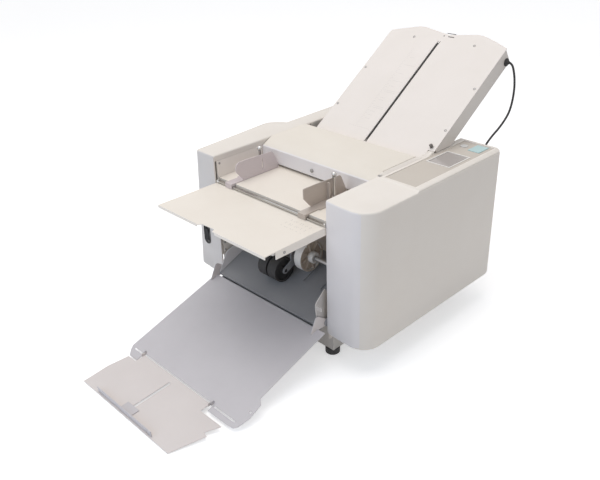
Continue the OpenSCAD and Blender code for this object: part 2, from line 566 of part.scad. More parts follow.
module exit_guide() color([0.30, 0.30, 0.32]) {
    a = atan2(rd[1] - roll_d / 2 - 2 - chute_z(chute_back), rd[0] - 30 - chute_back);
    l = norm([rd[0] - 30 - chute_back, rd[1] - roll_d / 2 - 2 - chute_z(chute_back)]);
    translate([gap, chute_back + 1, chute_z(chute_back)]) rotate([a, 0, 0]) translate([0, 0, -sheet]) cube([inner_w - 2 * gap, l, sheet]);
}
module pivot_pins() color([0.42, 0.42, 0.43]) {
    // the tray's two pins with their bosses, and the top cover's two pins
    for (x = [0, inner_w - 6.6]) xcyl(x, x + 6.6, [hinge_y, hinge_z], hinge_r);
    for (x = [0, inner_w - 3.2]) xcyl(x, x + 3.2, [hinge_y, hinge_z], 9);
    for (x = [0, inner_w - 3.4]) xcyl(x, x + 3.4, [piv_y, piv_z], piv_r);
}
module stacker_shaft() color([0.7, 0.7, 0.72]) xcyl(-plate_t - 3, inner_w + plate_t + 3, [wheel_y, wheel_z], shaft_d / 2);
module disc_wheel(x0) {
    // white tread ring, webbed face, hub
    color([0.93, 0.92, 0.90]) difference() {
        xcyl(x0, x0 + wheel_w, [wheel_y, wheel_z], wheel_d / 2);
        for (s = [0, 1]) difference() {
            xcyl(s ? x0 - 1 : x0 + wheel_w - 6, s ? x0 + 6 : x0 + wheel_w + 1, [wheel_y, wheel_z], wheel_d / 2 - 4);
            xcyl(x0 - 2, x0 + wheel_w + 2, [wheel_y, wheel_z], 9.5);
            for (i = [0:7]) translate([x0 - 2, wheel_y, wheel_z]) rotate([i * 45 + 10, 0, 0]) translate([0, 0, -1.2]) cube([wheel_w + 4, wheel_d / 2, 2.4]);
        }
        xcyl(x0 - 1, x0 + wheel_w + 1, [wheel_y, wheel_z], shaft_d / 2 + run_c);
    }
}
module stacker_wheels() { disc_wheel(206); disc_wheel(86); }
module press_arm() color([0.2, 0.2, 0.21]) {
    for (x = [124, 190]) difference() {
        hull() { xcyl(x, x + 3, [wheel_y, wheel_z], 10); xcyl(x, x + 3, [press_y, press_z], 8); }
        xcyl(x - 1, x + 4, [wheel_y, wheel_z], shaft_d / 2 + run_c);
        xcyl(x - 1, x + 4, [press_y, press_z], 4 + run_c);
    }
    box(124, 193, 52, 58, (wheel_z + press_z) / 2 + 22, (wheel_z + press_z) / 2 + 24);
    for (x = [124, 190]) box(x, x + 3, 52, 58, (wheel_z + press_z) / 2, (wheel_z + press_z) / 2 + 24);
}
module press_wheels() color([0.16, 0.16, 0.17]) {
    xcyl(123, 194, [press_y, press_z], 4);
    for (x = [129, 161]) press_wheel(x);
}
module press_wheel(x) difference() {
    xcyl(x, x + press_w, [press_y, press_z], press_d / 2);
    for (s = [0, 1]) difference() {
        xcyl(s ? x - 1 : x + press_w - 5, s ? x + 5 : x + press_w + 1, [press_y, press_z], press_d / 2 - 5);
        xcyl(x - 2, x + press_w + 2, [press_y, press_z], 8);
    }
}
module tray() color([0.80, 0.79, 0.78]) {
    on_tray() difference() {
        union() {
            difference() {
                translate([0, 0, -1.5]) linear_extrude(1.5) polygon([[-1, 0], [-1 + tray_w, 0], [-1 + tray_w, -200], [tray_w + 12, -212], [tray_w + 15, -tray_len + 18],
                    [tray_w + 9, -tray_len - 8], [tray_w + 2, -tray_len - 16], [tray_w - 14, -tray_len - 18], [tray_w - 76, -tray_len - 18], [tray_w - 76, -tray_len],
                    [44, -tray_len], [44, -tray_len - 24], [16, -tray_len - 24], [4, -tray_len - 12], [-3, -tray_len]]);
                for (x = [tray_w - 72]) translate([x, -tray_len - 5, -3]) cube([66, 3.5, 6]);
                translate([10, -tray_len - 5, -3]) cube([30, 3.5, 6]);
                translate([tray_w + 5, -tray_len + 31, -3]) cylinder(d = 5, h = 6);
            }
            // folded stiffening edge toward the machine, and hinge ears for the extension
            translate([10, -2, -9]) cube([inner_w - 20, 1.5, 9]);
            for (x = [46, 292.5]) translate([x, -tray_len - 5, -1.5]) cube([1.5, 10, 1.5 + 7]);
        }
        translate([0, -tray_len - 2, ext_axis]) rotate([0, 90, 0]) cylinder(r = 1.5, h = 400);
    }
    // side arms that reach back to the pivots
    for (s = [0, 1]) translate([s * inner_w, 0, 0]) mirror([s, 0, 0]) difference() {
        union() {
            translate([3.6, 0, 0]) rotate([90, 0, 90]) linear_extrude(sheet) polygon([[tray_y0 - 12, tray_z0 - 4.6], [hinge_y, hinge_z - 7], [hinge_y + 7, hinge_z],
                [hinge_y, hinge_z + 7], [tray_y0 + 4, tray_z0 + 30], [tray_y0 - 4, tray_z0 + 30], [tray_y0 - 22, tray_z0 - 6]]);
            xcyl(3.6, 3.6 + sheet, [hinge_y, hinge_z], 8);
        }
        xcyl(3, 7, [hinge_y, hinge_z], hinge_r + run_c);
    }
}
module tray_extension() color([0.82, 0.81, 0.80]) on_ext() difference() {
    union() {
        difference() {
            translate([0, 0, -1.5]) linear_extrude(1.5) polygon([[50, -0.4], [289, -0.4], [289, -26], [357, -26], [342, -58], [354, -62], [330, -ext_len],
                [16, -ext_len], [14, -77], [22, -26], [50, -26]]);
            // slot that the stop slides in
            translate([168, -ext_len + 8, -3]) cube([6, ext_len - 26, 6]);
        }
        for (x = [48, 289.5]) translate([x, -8, -1.5]) cube([1.5, 10.5, ext_axis + 4.5]);
        translate([48, -8, -1.5]) cube([4, 7.6, 1.5]);
        translate([287, -8, -1.5]) cube([4, 7.6, 1.5]);
        translate([0, 0, ext_axis]) rotate([0, 90, 0]) translate([0, 0, 45]) cylinder(r = 1.5 - run_c, h = 6);
        translate([0, 0, ext_axis]) rotate([0, 90, 0]) translate([0, 0, 289.5]) cylinder(r = 1.5 - run_c, h = 6);
    }
}
module tray_stop() color([0.86, 0.85, 0.84]) on_ext() {
    difference() {
        translate([171 - stop_w / 2, -ext_len + 4, gap]) cube([stop_w, 1.6, stop_h]);
        translate([171 + stop_w / 2 - 14, -ext_len + 3, stop_h / 2]) rotate([-90, 0, 0]) cylinder(d = 5, h = 4);
    }
    translate([151, -ext_len + 5, gap]) cube([40, 24, 1.5]);
    translate([168.6, -ext_len + 9, -1.5 - gap]) cube([4.8, 18, 1.5 + 2 * gap + e]);
    translate([164, -ext_len + 9, -1.5 - gap - 1.2]) cube([14, 18, 1.2 + e]);
}
// ---------- upper fold plate ----------
module fold_outline() {
    w = fold_w; x0 = fold_x; l = fold_len;
    difference() {
        union() {
            polygon([[x0, -52], [inner_w - 2.5, -52], [inner_w - 2.5, -17], [x0 + w, -17], [x0 + w, l],
                [x0 + w - 42, l + 16], [x0 + w - 78, l + hump - 1], [x0 + w - 96, l + hump], [x0 + w / 2 + 26, l + hump - 8],
                [x0 + w / 2, l + hump - 12], [x0 + w / 2 - 26, l + hump - 8], [x0 + 96, l + hump], [x0 + 78, l + hump - 1],
                [x0 + 4, l + 2], [x0, l - 4]]);
        }
        translate([slot_x - slot_w / 2, -41]) square([slot_w, fold_len - 18 + 41]);
    }
}
module fold_plate_top() color([0.93, 0.90, 0.85]) on_fold() difference() {
    translate([0, 0, -1.5]) linear_extrude(1.5) fold_outline();
    for (p = fold_pts) translate([p[0], p[1], -3]) cylinder(d = 3.4, h = 5);
}
fold_pts = [[99, fold_len - 11], [281, fold_len - 9], [357, fold_len - 136], [358, 45], [24, fold_len - 138], [24, 43]];
module fold_plate_box() color([0.88, 0.85, 0.80]) on_fold() difference() {
    union() {
        // side walls, upper end wall and floor
        for (x = [fold_x, fold_x + fold_w - 1.5]) translate([x, -12, -fold_box]) cube([1.5, fold_len + 8, fold_box - 1.5]);
        translate([fold_x, fold_len - 6, -fold_box]) cube([fold_w, 1.5, fold_box - 1.5]);
        translate([fold_x, -12, -fold_box]) cube([fold_w, fold_len + 6, 1.5]);
        // strips that the sheet slides on, tied at both ends
        for (i = [0:6], z = [path_o - 3.5, path_o + 2]) translate([fold_x + 20 + i * 49, -12, z]) cube([18, fold_len + 7, 1.5]);
        for (y = [-12, fold_len - 14], z = [path_o - 5.5, path_o + 3.5 - e]) translate([fold_x + 1, y, z]) cube([fold_w - 2, 9, 2 + e]);
        // posts that the top sheet is screwed to
        for (p = fold_pts) translate([p[0], p[1], -fold_box + 0.5]) cylinder(d = 9, h = fold_box - 2);
    }
    // lower right corner cut level, clear of the right cover
    translate([inner_w - 1, 0, 0]) rotate([-fold_tilt, 0, 0]) translate([0, -200, panel_z + 1.5 - fz - 200]) cube([60, 400, 200]);
    for (p = fold_pts) translate([p[0], p[1], -9]) cylinder(d = 3.4, h = 10);
    translate([fold_x + fold_w - 3, gland_s, gland_o]) rotate([0, 90, 0]) cylinder(d = 9.2, h = 5);
}
module fold_plate_screws() color([0.62, 0.61, 0.60]) on_fold() {
    for (p = fold_pts) translate([p[0], p[1], 0]) {
        screw(6.4, 1.8);
        translate([0, 0, -7]) cylinder(d = 3.3, h = 7 + e);
    }
}
module stop_rail() color([0.7, 0.7, 0.72]) on_fold() {
    // two rails that the stop's carriage runs between
    for (x = [slot_x - 22, slot_x + 18]) translate([x, -10.5, -fold_box + 1.5]) cube([4, fold_len + 4.5, rail_top]);
}
module fold_stop() color([0.25, 0.25, 0.26]) on_fold() {
    zb = -fold_box + 1.5 + rail_top + gap;
    // carriage between the rails, cross bar above them, fingers between the strips, pointer through the slot
    translate([slot_x - 18 + gap, stop_s, -fold_box + 1.5 + gap]) cube([36 - 2 * gap, 26, rail_top + 0.5]);
    translate([fold_x + 42, stop_s, zb]) cube([fold_w - 84, 8, 3]);
    for (i = [0, 1, 3, 4, 5]) translate([fold_x + 20 + i * 49 + 27, stop_s, zb + 3 - e]) cube([12, 2, -2.4 - zb - 3]);
    translate([slot_x - 1.2, stop_s, zb + 3 - e]) cube([2.4, 8, 1.2 - zb - 3]);
}
module plate_motor() color([0.16, 0.16, 0.17]) on_fold() {
    translate([slot_x + 40, fold_len - 58, -fold_box + 1.5]) cube([42, 42, 10]);
    translate([slot_x + 61, fold_len - 37, -fold_box + 1.5]) cylinder(d = 8, h = 14);
}
module fold_plate_brackets() for (s = [0, 1]) translate([s * inner_w, 0, 0]) mirror([s, 0, 0]) {
    // legs on the side walls and shelves under the plate's box
    p = ws(34, -fold_box - 3); q = ws(64, -fold_box - 3);
    rotate([90, 0, 90]) linear_extrude(3) polygon([[p[0], plate_top - 34], [q[0], plate_top - 34], [q[0], q[1] + 1], [p[0], p[1] + 1]]);
    on_fold() translate([0, 34, -fold_box - 3]) cube([34, 30, 3]);
}
// ---------- lower fold plate ----------
module lower_fold_plate() color([0.62, 0.62, 0.64]) on_lower() difference() {
    union() {
        for (z = [-4, 2.5]) for (i = [0:6]) translate([18 + i * 50, 50, z]) cube([16, 130, 1.5]);
        for (z = [-6, 4]) for (y = [53, 110, 170]) translate([gap, y, z]) cube([inner_w - 2 * gap, 8, z < 0 ? 2 + e : 2]);
        for (x = [gap, inner_w - gap - 2]) translate([x, 50, -6]) cube([2, 130, 12]);
    }
}
module lower_stop() color([0.25, 0.25, 0.26]) on_lower() {
    for (i = [0:5]) translate([18 + 16 + 12 + i * 50, 130, -2.2]) cube([10, 2, 4.4]);
    translate([38, 132 - e, -2.2]) cube([276, 6, 4.4]);
}
// ---------- cable ----------
module plate_knob() color([0.25, 0.24, 0.23]) on_fold() translate([353, -7, 0]) { cylinder(d = 8, h = 7); translate([0, 0, 7 - e]) cylinder(d1 = 8, d2 = 5, h = 1.5); }
module plate_gland() on_fold() translate([fold_x + fold_w, gland_s, gland_o]) rotate([0, 90, 0]) {
    cylinder(d = 14, h = 3); cylinder(d1 = 10, d2 = 7, h = 7);
    translate([0, 0, -4]) cylinder(d = 9, h = 4 + e);
}
module body_gland() translate([404, cover_len - cover_wall - 2, 374]) rotate([-90, 0, 0]) {
    cylinder(d = 12, h = cover_wall + 4); translate([0, 0, cover_wall + 2]) cylinder(d1 = 14, d2 = 9, h = 6);
}
module cable_glands() color([0.07, 0.07, 0.07]) { plate_gland(); body_gland(); }
module cable() color([0.06, 0.06, 0.06]) {
    m = len(cable_pts);
    // a smooth curve through the route's points, two steps a span
    pts = concat([for (i = [0:m - 2], t = [0, 0.5]) let (a = cable_pts[max(i - 1, 0)], b = cable_pts[i], c = cable_pts[i + 1], d = cable_pts[min(i + 2, m - 1)])
        b + t * (c - a) / 2 + t * t * (a - 2.5 * b + 2 * c - d / 2) + t * t * t * (1.5 * b - a / 2 - 1.5 * c + d / 2)], [cable_pts[m - 1]]);
    n = len(pts);
    dir = [for (i = [0:n - 1]) i == 0 ? [1, 0, 0] : i == n - 1 ? [0, -1, 0] : (pts[i + 1] - pts[i - 1]) / norm(pts[i + 1] - pts[i - 1])];
    u0 = [for (d = dir) let (c = cross(d, [0.6, 0.75, 0])) c / norm(c)];
    rings = [for (i = [0:n - 1]) let (w = cross(dir[i], u0[i])) for (k = [0:cable_n - 1])
        pts[i] + cable_r * (u0[i] * cos(k * 360 / cable_n) + w * sin(k * 360 / cable_n))];
    polyhedron(points = concat(rings, [pts[0], pts[n - 1]]),
        faces = concat(
            [for (k = [0:cable_n - 1]) [n * cable_n, k, (k + 1) % cable_n]],
            [for (k = [0:cable_n - 1]) [n * cable_n + 1, (n - 1) * cable_n + (k + 1) % cable_n, (n - 1) * cable_n + k]],
            [for (i = [0:n - 2], k = [0:cable_n - 1]) [i * cable_n + k, (i + 1) * cable_n + k, (i + 1) * cable_n + (k + 1) % cable_n]],
            [for (i = [0:n - 2], k = [0:cable_n - 1]) [i * cable_n + k, (i + 1) * cable_n + (k + 1) % cable_n, i * cable_n + (k + 1) % cable_n]]));
}
// ---------- panel and switch ----------
module panel_plate() color([0.74, 0.71, 0.66]) difference() {
    box(panel_x0, panel_x0 + panel_w, panel_y0, panel_y0 + panel_len, panel_z - 2.5, panel_z - 1);
    box(disp_x0, disp_x0 + disp_w, disp_y0, disp_y0 + disp_len, panel_z - 5, panel_z + 2);
    box(key_x0 - gap, key_x0 + key_w + gap, key_y0 - gap, key_y0 + key_len + gap, panel_z - 5, panel_z + 2);
    translate([oval_x, oval_y, panel_z - 5]) cylinder(d = 18 + 2 * gap, h = 8);
}
module display() color([0.45, 0.44, 0.43]) box(disp_x0, disp_x0 + disp_w, disp_y0, disp_y0 + disp_len, panel_z - 2.5, panel_z - 1.2);
module display_frame() color([0.93, 0.92, 0.90]) difference() {
    box(disp_x0 - 3, disp_x0 + disp_w + 3, disp_y0 - 3, disp_y0 + disp_len + 3, panel_z - 1, panel_z);
    box(disp_x0, disp_x0 + disp_w, disp_y0, disp_y0 + disp_len, panel_z - 2, panel_z + 1);
}
module start_key() color([0.62, 0.80, 0.81]) {
    box(key_x0, key_x0 + key_w, key_y0, key_y0 + key_len, key_z, key_top);
    box(key_x0 - 1.6, key_x0 + key_w + 1.6, key_y0 - 1.6, key_y0 + key_len + 1.6, key_z, key_z + 0.9);
}
module oval_key() color([0.78, 0.79, 0.77]) translate([oval_x, oval_y, key_z]) {
    cylinder(d = 18, h = key_top - key_z);
    cylinder(d = 21, h = 0.9);
}
module switch_bezel() color([0.80, 0.80, 0.80]) difference() {
    box(sw_x - 8, sw_x + 8, 0, 16, sw_z - 21, sw_z + 21);
    box(sw_x - 6, sw_x + 6, -1, 13, sw_z - 18, sw_z + 18);
    xcyl(sw_x - 9, sw_x + 9, [6, sw_z], 1.5);
}
module rocker() color([0.08, 0.08, 0.08]) {
    intersection() {
        box(sw_x - 5.6, sw_x + 5.6, -2, 12, sw_z - 17.2, sw_z + 17.2);
        difference() { xcyl(sw_x - 5.6, sw_x + 5.6, [6, sw_z], 17.2); box(sw_x - 6, sw_x + 6, 9, 40, sw_z - 30, sw_z + 30);
            translate([sw_x - 6, -0.8, sw_z]) rotate([8, 0, 0]) translate([0, -40, 0]) cube([12, 40, 40]);
            translate([sw_x - 6, -0.8, sw_z]) rotate([-8, 0, 0]) translate([0, -40, -40]) cube([12, 40, 40]); }
    }
    xcyl(sw_x - 8, sw_x + 8, [6, sw_z], 1.5 - run_c);
}

place() base_frame();
place() side_plates();
place() tie_rods();
place() feet();
place() left_cover();
place() right_cover();
place() rear_panel();
place() feed_bed();
place() sheet_guides();
place() separator_pad();
place() guide_rail();
place() feed_table();
place() wall_brackets();
place() body_screws();
place() chute();
place() chute_walls();
place() pivot_pins();
place() fold_plate_top();
place() fold_plate_box();
place() fold_plate_screws();
place() plate_motor();
place() stop_rail();
place() lower_fold_plate();
place() plate_knob();
place() mains_inlet();
place() cable_glands();
place() drive_motor();
place() drive_pinion();
place() cable();
place() panel_plate();
place() display();
place() display_frame();
place() switch_bezel();
place() rocker();
place() start_key();
place() oval_key();
place() top_cover();
place() cover_knob();
place() guide_left();
place() guide_right();
place() guide_pin_left();
place() guide_pin_right();
place() feed_roller();
place() fold_roller_a();
place() fold_roller_b();
place() fold_roller_c();
place() fold_roller_d();
place() gear_a();
place() gear_b();
place() gear_c();
place() gear_d();
place() stacker_shaft();
place() stacker_wheels();
place() press_arm();
place() press_wheels();
place() tray();
place() tray_extension();
place() tray_stop();
place() fold_stop();
place() lower_stop();
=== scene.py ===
import json
import math

import bmesh
import bpy
import numpy as np
from mathutils import Euler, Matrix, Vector

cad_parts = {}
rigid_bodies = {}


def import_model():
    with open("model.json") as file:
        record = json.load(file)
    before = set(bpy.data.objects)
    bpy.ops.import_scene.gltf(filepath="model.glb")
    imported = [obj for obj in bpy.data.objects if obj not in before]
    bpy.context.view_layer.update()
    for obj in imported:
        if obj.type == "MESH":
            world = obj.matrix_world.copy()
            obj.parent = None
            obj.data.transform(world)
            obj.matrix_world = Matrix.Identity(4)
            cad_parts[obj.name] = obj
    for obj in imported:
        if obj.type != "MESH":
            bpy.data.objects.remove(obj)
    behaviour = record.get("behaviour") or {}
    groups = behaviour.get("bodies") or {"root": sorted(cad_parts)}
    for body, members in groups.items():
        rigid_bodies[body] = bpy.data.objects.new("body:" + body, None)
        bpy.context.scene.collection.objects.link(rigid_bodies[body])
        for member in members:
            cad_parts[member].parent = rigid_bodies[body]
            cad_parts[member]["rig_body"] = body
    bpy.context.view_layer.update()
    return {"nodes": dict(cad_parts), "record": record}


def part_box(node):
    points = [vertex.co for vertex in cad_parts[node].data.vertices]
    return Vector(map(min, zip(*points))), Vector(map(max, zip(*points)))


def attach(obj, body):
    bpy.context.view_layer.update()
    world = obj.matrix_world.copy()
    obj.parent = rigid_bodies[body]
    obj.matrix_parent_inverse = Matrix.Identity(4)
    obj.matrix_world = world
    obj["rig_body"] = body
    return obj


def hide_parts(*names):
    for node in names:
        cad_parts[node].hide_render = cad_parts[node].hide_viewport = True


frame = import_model()
scene = bpy.context.scene
scene.view_settings.view_transform = "Standard"
print("frame loaded:", len(frame["nodes"]), "nodes")

# machine coordinates in mm: x from the left cover's inner face, y from the covers' front, z from the desk
middle = np.array([189.5, 114.0934, 0.0])


def at(p):  # millimetres in machine coordinates to metres in the frame
    return (np.asarray(p, float) - middle) / 1000


def inMachine(p):  # a flat array of points in metres to rows in mm, the other way round
    return p.reshape(-1, 3).astype(float) * 1000 + middle


# place and sensor width in mm; turn about z, tilt and roll in degrees; focal length and picture width in pixels
view = {"place": (1244.3, -926.7, 990.7), "turn": 46.15, "tilt": 62.11, "roll": -1.80,
        "focal": 711.28, "wide": 600, "sensor": 36.0}


def setCamera():  # lens = focal length in pixels x sensor width / picture width
    camera = bpy.data.cameras.new("camera")
    camera.sensor_width = view["sensor"]
    camera.lens = view["focal"] * view["sensor"] / view["wide"]
    holder = bpy.data.objects.new("camera", camera)
    scene.collection.objects.link(holder)
    holder.location = at(view["place"])
    turn, tilt, roll = (math.radians(view[label]) for label in ("turn", "tilt", "roll"))
    matrix = Euler((0, 0, turn)).to_matrix() @ Euler((tilt, 0, 0)).to_matrix() @ Euler((0, 0, roll)).to_matrix()
    holder.rotation_euler = matrix.to_euler()
    scene.camera = holder
    print("camera set, lens", round(camera.lens, 2))


setCamera()

# upper fold plate, in mm and degrees: s runs up its slope, o stands off its face
foldPlate = {"tilt": 33.8, "y": 361.6, "z": 413.8, "left": 15.5, "width": 351.0}
foldTilt = math.radians(foldPlate["tilt"])
upSlope = np.array([0.0, math.cos(foldTilt), math.sin(foldTilt)])
offSlope = np.array([0.0, -math.sin(foldTilt), math.cos(foldTilt)])


def onFold(x, s, o):  # the plate's lower corner plus s up the slope plus o off the face
    x, s, o = np.broadcast_arrays(*(np.asarray(v, float) for v in (x, s, o)))
    return np.stack([x, foldPlate["y"] + s * upSlope[1] + o * offSlope[1],
                     foldPlate["z"] + s * upSlope[2] + o * offSlope[2]], -1)


def foldPlace(p):  # the s and o of points
    d = p[:, 1:] - np.array([foldPlate["y"], foldPlate["z"]])
    return d @ upSlope[1:], d @ offSlope[1:]


# shader groups
def newGroup(name, inputs, outputs):
    tree = bpy.data.node_groups.new(name, "ShaderNodeTree")
    for label, kind, value in inputs:
        socket = tree.interface.new_socket(name=label, in_out="INPUT", socket_type=kind)
        socket.default_value = value
    for label, kind in outputs:
        tree.interface.new_socket(name=label, in_out="OUTPUT", socket_type=kind)
    return tree, tree.nodes.new("NodeGroupInput"), tree.nodes.new("NodeGroupOutput")


def setOrLink(tree, socket, value):  # a plain number is set on the socket, a socket is linked to it
    if isinstance(value, (int, float)):
        socket.default_value = value
    else:
        tree.links.new(value, socket)


def mathNode(tree, operation, a, b, clamp=False):
    node = tree.nodes.new("ShaderNodeMath")
    node.operation, node.use_clamp = operation, clamp
    setOrLink(tree, node.inputs[0], a)
    setOrLink(tree, node.inputs[1], b)
    return node.outputs[0]


def noiseNode(tree, vector, scale, detail, rough):
    node = tree.nodes.new("ShaderNodeTexNoise")
    tree.links.new(vector, node.inputs["Vector"])
    for label, value in (("Scale", scale), ("Detail", detail), ("Roughness", rough)):
        setOrLink(tree, node.inputs[label], value)
    return node.outputs["Fac"]


def objectPlace(tree):
    return tree.nodes.new("ShaderNodeTexCoord").outputs["Object"]


def makePaintGrain():  # fine orange-peel height and a broad, faint mottle: noise at two scales on Object coordinates
    tree, entry, leave = newGroup(
        "paintGrain", [("Peel Scale", "NodeSocketFloat", 900.0), ("Mottle Scale", "NodeSocketFloat", 9.0)],
        [("Height", "NodeSocketFloat"), ("Mottle", "NodeSocketFloat")])
    place = objectPlace(tree)
    peel = noiseNode(tree, place, entry.outputs["Peel Scale"], 2.0, 0.55)
    broad = noiseNode(tree, place, entry.outputs["Mottle Scale"], 4.0, 0.6)
    spread = mathNode(tree, "MULTIPLY_ADD", broad, 2.4, clamp=True)  # 2.4 x noise - 0.7
    spread.node.inputs[2].default_value = -0.7
    tree.links.new(peel, leave.inputs["Height"])
    tree.links.new(spread, leave.inputs["Mottle"])
    return tree


def makeBrushed():  # streaks along one axis: noise on Object coordinates, squeezed across and stretched along
    tree, entry, leave = newGroup("brushedStreaks", [("Across", "NodeSocketVector", (60.0, 1400.0, 1400.0))],
                                  [("Height", "NodeSocketFloat"), ("Streak", "NodeSocketFloat")])
    scaled = tree.nodes.new("ShaderNodeVectorMath")
    scaled.operation = "MULTIPLY"
    tree.links.new(objectPlace(tree), scaled.inputs[0])
    tree.links.new(entry.outputs["Across"], scaled.inputs[1])
    fine = noiseNode(tree, scaled.outputs[0], 1.0, 3.0, 0.6)
    for label in ("Height", "Streak"):
        tree.links.new(fine, leave.inputs[label])
    return tree


# rubbed edges, paler: partly rubbed paint, partly painted highlight; reach in metres, scale of the noise that breaks
# them up, and how fast they show
rubbedAndSheen = {"samples": 4, "reach": 0.0012, "breakUp": 140.0, "gain": 4.0}


# paler rounded edges: rubbed paint and painted highlight together
def makeEdgeWearAndSheen():  # gain x how far the rounded normal turns from the true one x noise x the material's amount
    tree, entry, leave = newGroup("edgeWearAndSheen", [("Amount", "NodeSocketFloat", 1.0)], [("Mask", "NodeSocketFloat")])
    soft = tree.nodes.new("ShaderNodeBevel")
    soft.samples = rubbedAndSheen["samples"]
    soft.inputs["Radius"].default_value = rubbedAndSheen["reach"]
    true = tree.nodes.new("ShaderNodeNewGeometry")
    dot = tree.nodes.new("ShaderNodeVectorMath")
    dot.operation = "DOT_PRODUCT"
    tree.links.new(soft.outputs["Normal"], dot.inputs[0])
    tree.links.new(true.outputs["Normal"], dot.inputs[1])
    turn = mathNode(tree, "SUBTRACT", 1.0, dot.outputs["Value"])
    broken = noiseNode(tree, objectPlace(tree), rubbedAndSheen["breakUp"], 3.0, 0.6)
    mask = mathNode(tree, "MULTIPLY", mathNode(tree, "MULTIPLY", turn, rubbedAndSheen["gain"]), broken)
    tree.links.new(mathNode(tree, "MULTIPLY", mask, entry.outputs["Amount"], clamp=True), leave.inputs["Mask"])
    return tree


paintGrain, brushedStreaks, edgeWearAndSheen = makePaintGrain(), makeBrushed(), makeEdgeWearAndSheen()


def groupNode(mat, tree, label, value):  # the group in a material, with its own value in one socket
    node = mat.node_tree.nodes.new("ShaderNodeGroup")
    node.node_tree = tree
    node.inputs[label].default_value = value
    return node


def mixColour(mat, factor, a, b):  # b over a by factor; a and b are colours or sockets
    node = mat.node_tree.nodes.new("ShaderNodeMix")
    node.data_type = "RGBA"
    mat.node_tree.links.new(factor, node.inputs["Factor"])
    for label, value in (("A", a), ("B", b)):
        socket = next(s for s in node.inputs if s.name == label and s.type == "RGBA")
        if isinstance(value, tuple):
            socket.default_value = (*value, 1.0)
        else:
            mat.node_tree.links.new(value, socket)
    return next(s for s in node.outputs if s.type == "RGBA")


def mapped(mat, value, low, high):  # 0 becomes low, 1 becomes high, straight between
    node = mat.node_tree.nodes.new("ShaderNodeMapRange")
    node.inputs["To Min"].default_value, node.inputs["To Max"].default_value = low, high
    mat.node_tree.links.new(value, node.inputs["Value"])
    return node.outputs["Result"]


# what a finish has where its look doesn't say; bumpDepth is in metres
plainLook = {"metal": 0.0, "peel": 900.0, "roughSpan": 0.04, "bump": 0.12, "bumpDepth": 0.00006}


def makeFinish(name, look):  # a Principled surface whose colour, roughness and bump follow the groups
    look = {**plainLook, **look}
    mat = bpy.data.materials.new(name)
    mat.use_nodes = True
    shader, links = mat.node_tree.nodes["Principled BSDF"], mat.node_tree.links
    shader.inputs["Metallic"].default_value = look["metal"]
    if "coat" in look:
        shader.inputs["Coat Weight"].default_value = look["coat"]
        shader.inputs["Coat Roughness"].default_value = look["coatRough"]
    if "specular" in look:
        shader.inputs["Specular IOR Level"].default_value = look["specular"]
    if "brushed" in look:
        pattern = groupNode(mat, brushedStreaks, "Across", look["brushed"])
        mottle = pattern.outputs["Streak"]
    else:
        pattern = groupNode(mat, paintGrain, "Peel Scale", look["peel"])
        mottle = pattern.outputs["Mottle"]
    colour = mixColour(mat, mottle, look["colour"], look["tint"])
    # paler edges mixed in: rubbed paint and painted highlight
    if "wearAndSheen" in look:
        wornAndLit = groupNode(mat, edgeWearAndSheen, "Amount", look["wearAndSheen"])
        colour = mixColour(mat, wornAndLit.outputs["Mask"], colour, look["wearSheenColour"])
    links.new(colour, shader.inputs["Base Color"])
    low, high = look["rough"] - look["roughSpan"], look["rough"] + look["roughSpan"]
    links.new(mapped(mat, mottle, low, high), shader.inputs["Roughness"])
    bump = mat.node_tree.nodes.new("ShaderNodeBump")
    bump.inputs["Strength"].default_value = look["bump"]
    bump.inputs["Distance"].default_value = look["bumpDepth"]
    links.new(pattern.outputs["Height"], bump.inputs["Height"])
    links.new(bump.outputs["Normal"], shader.inputs["Normal"])
    return mat


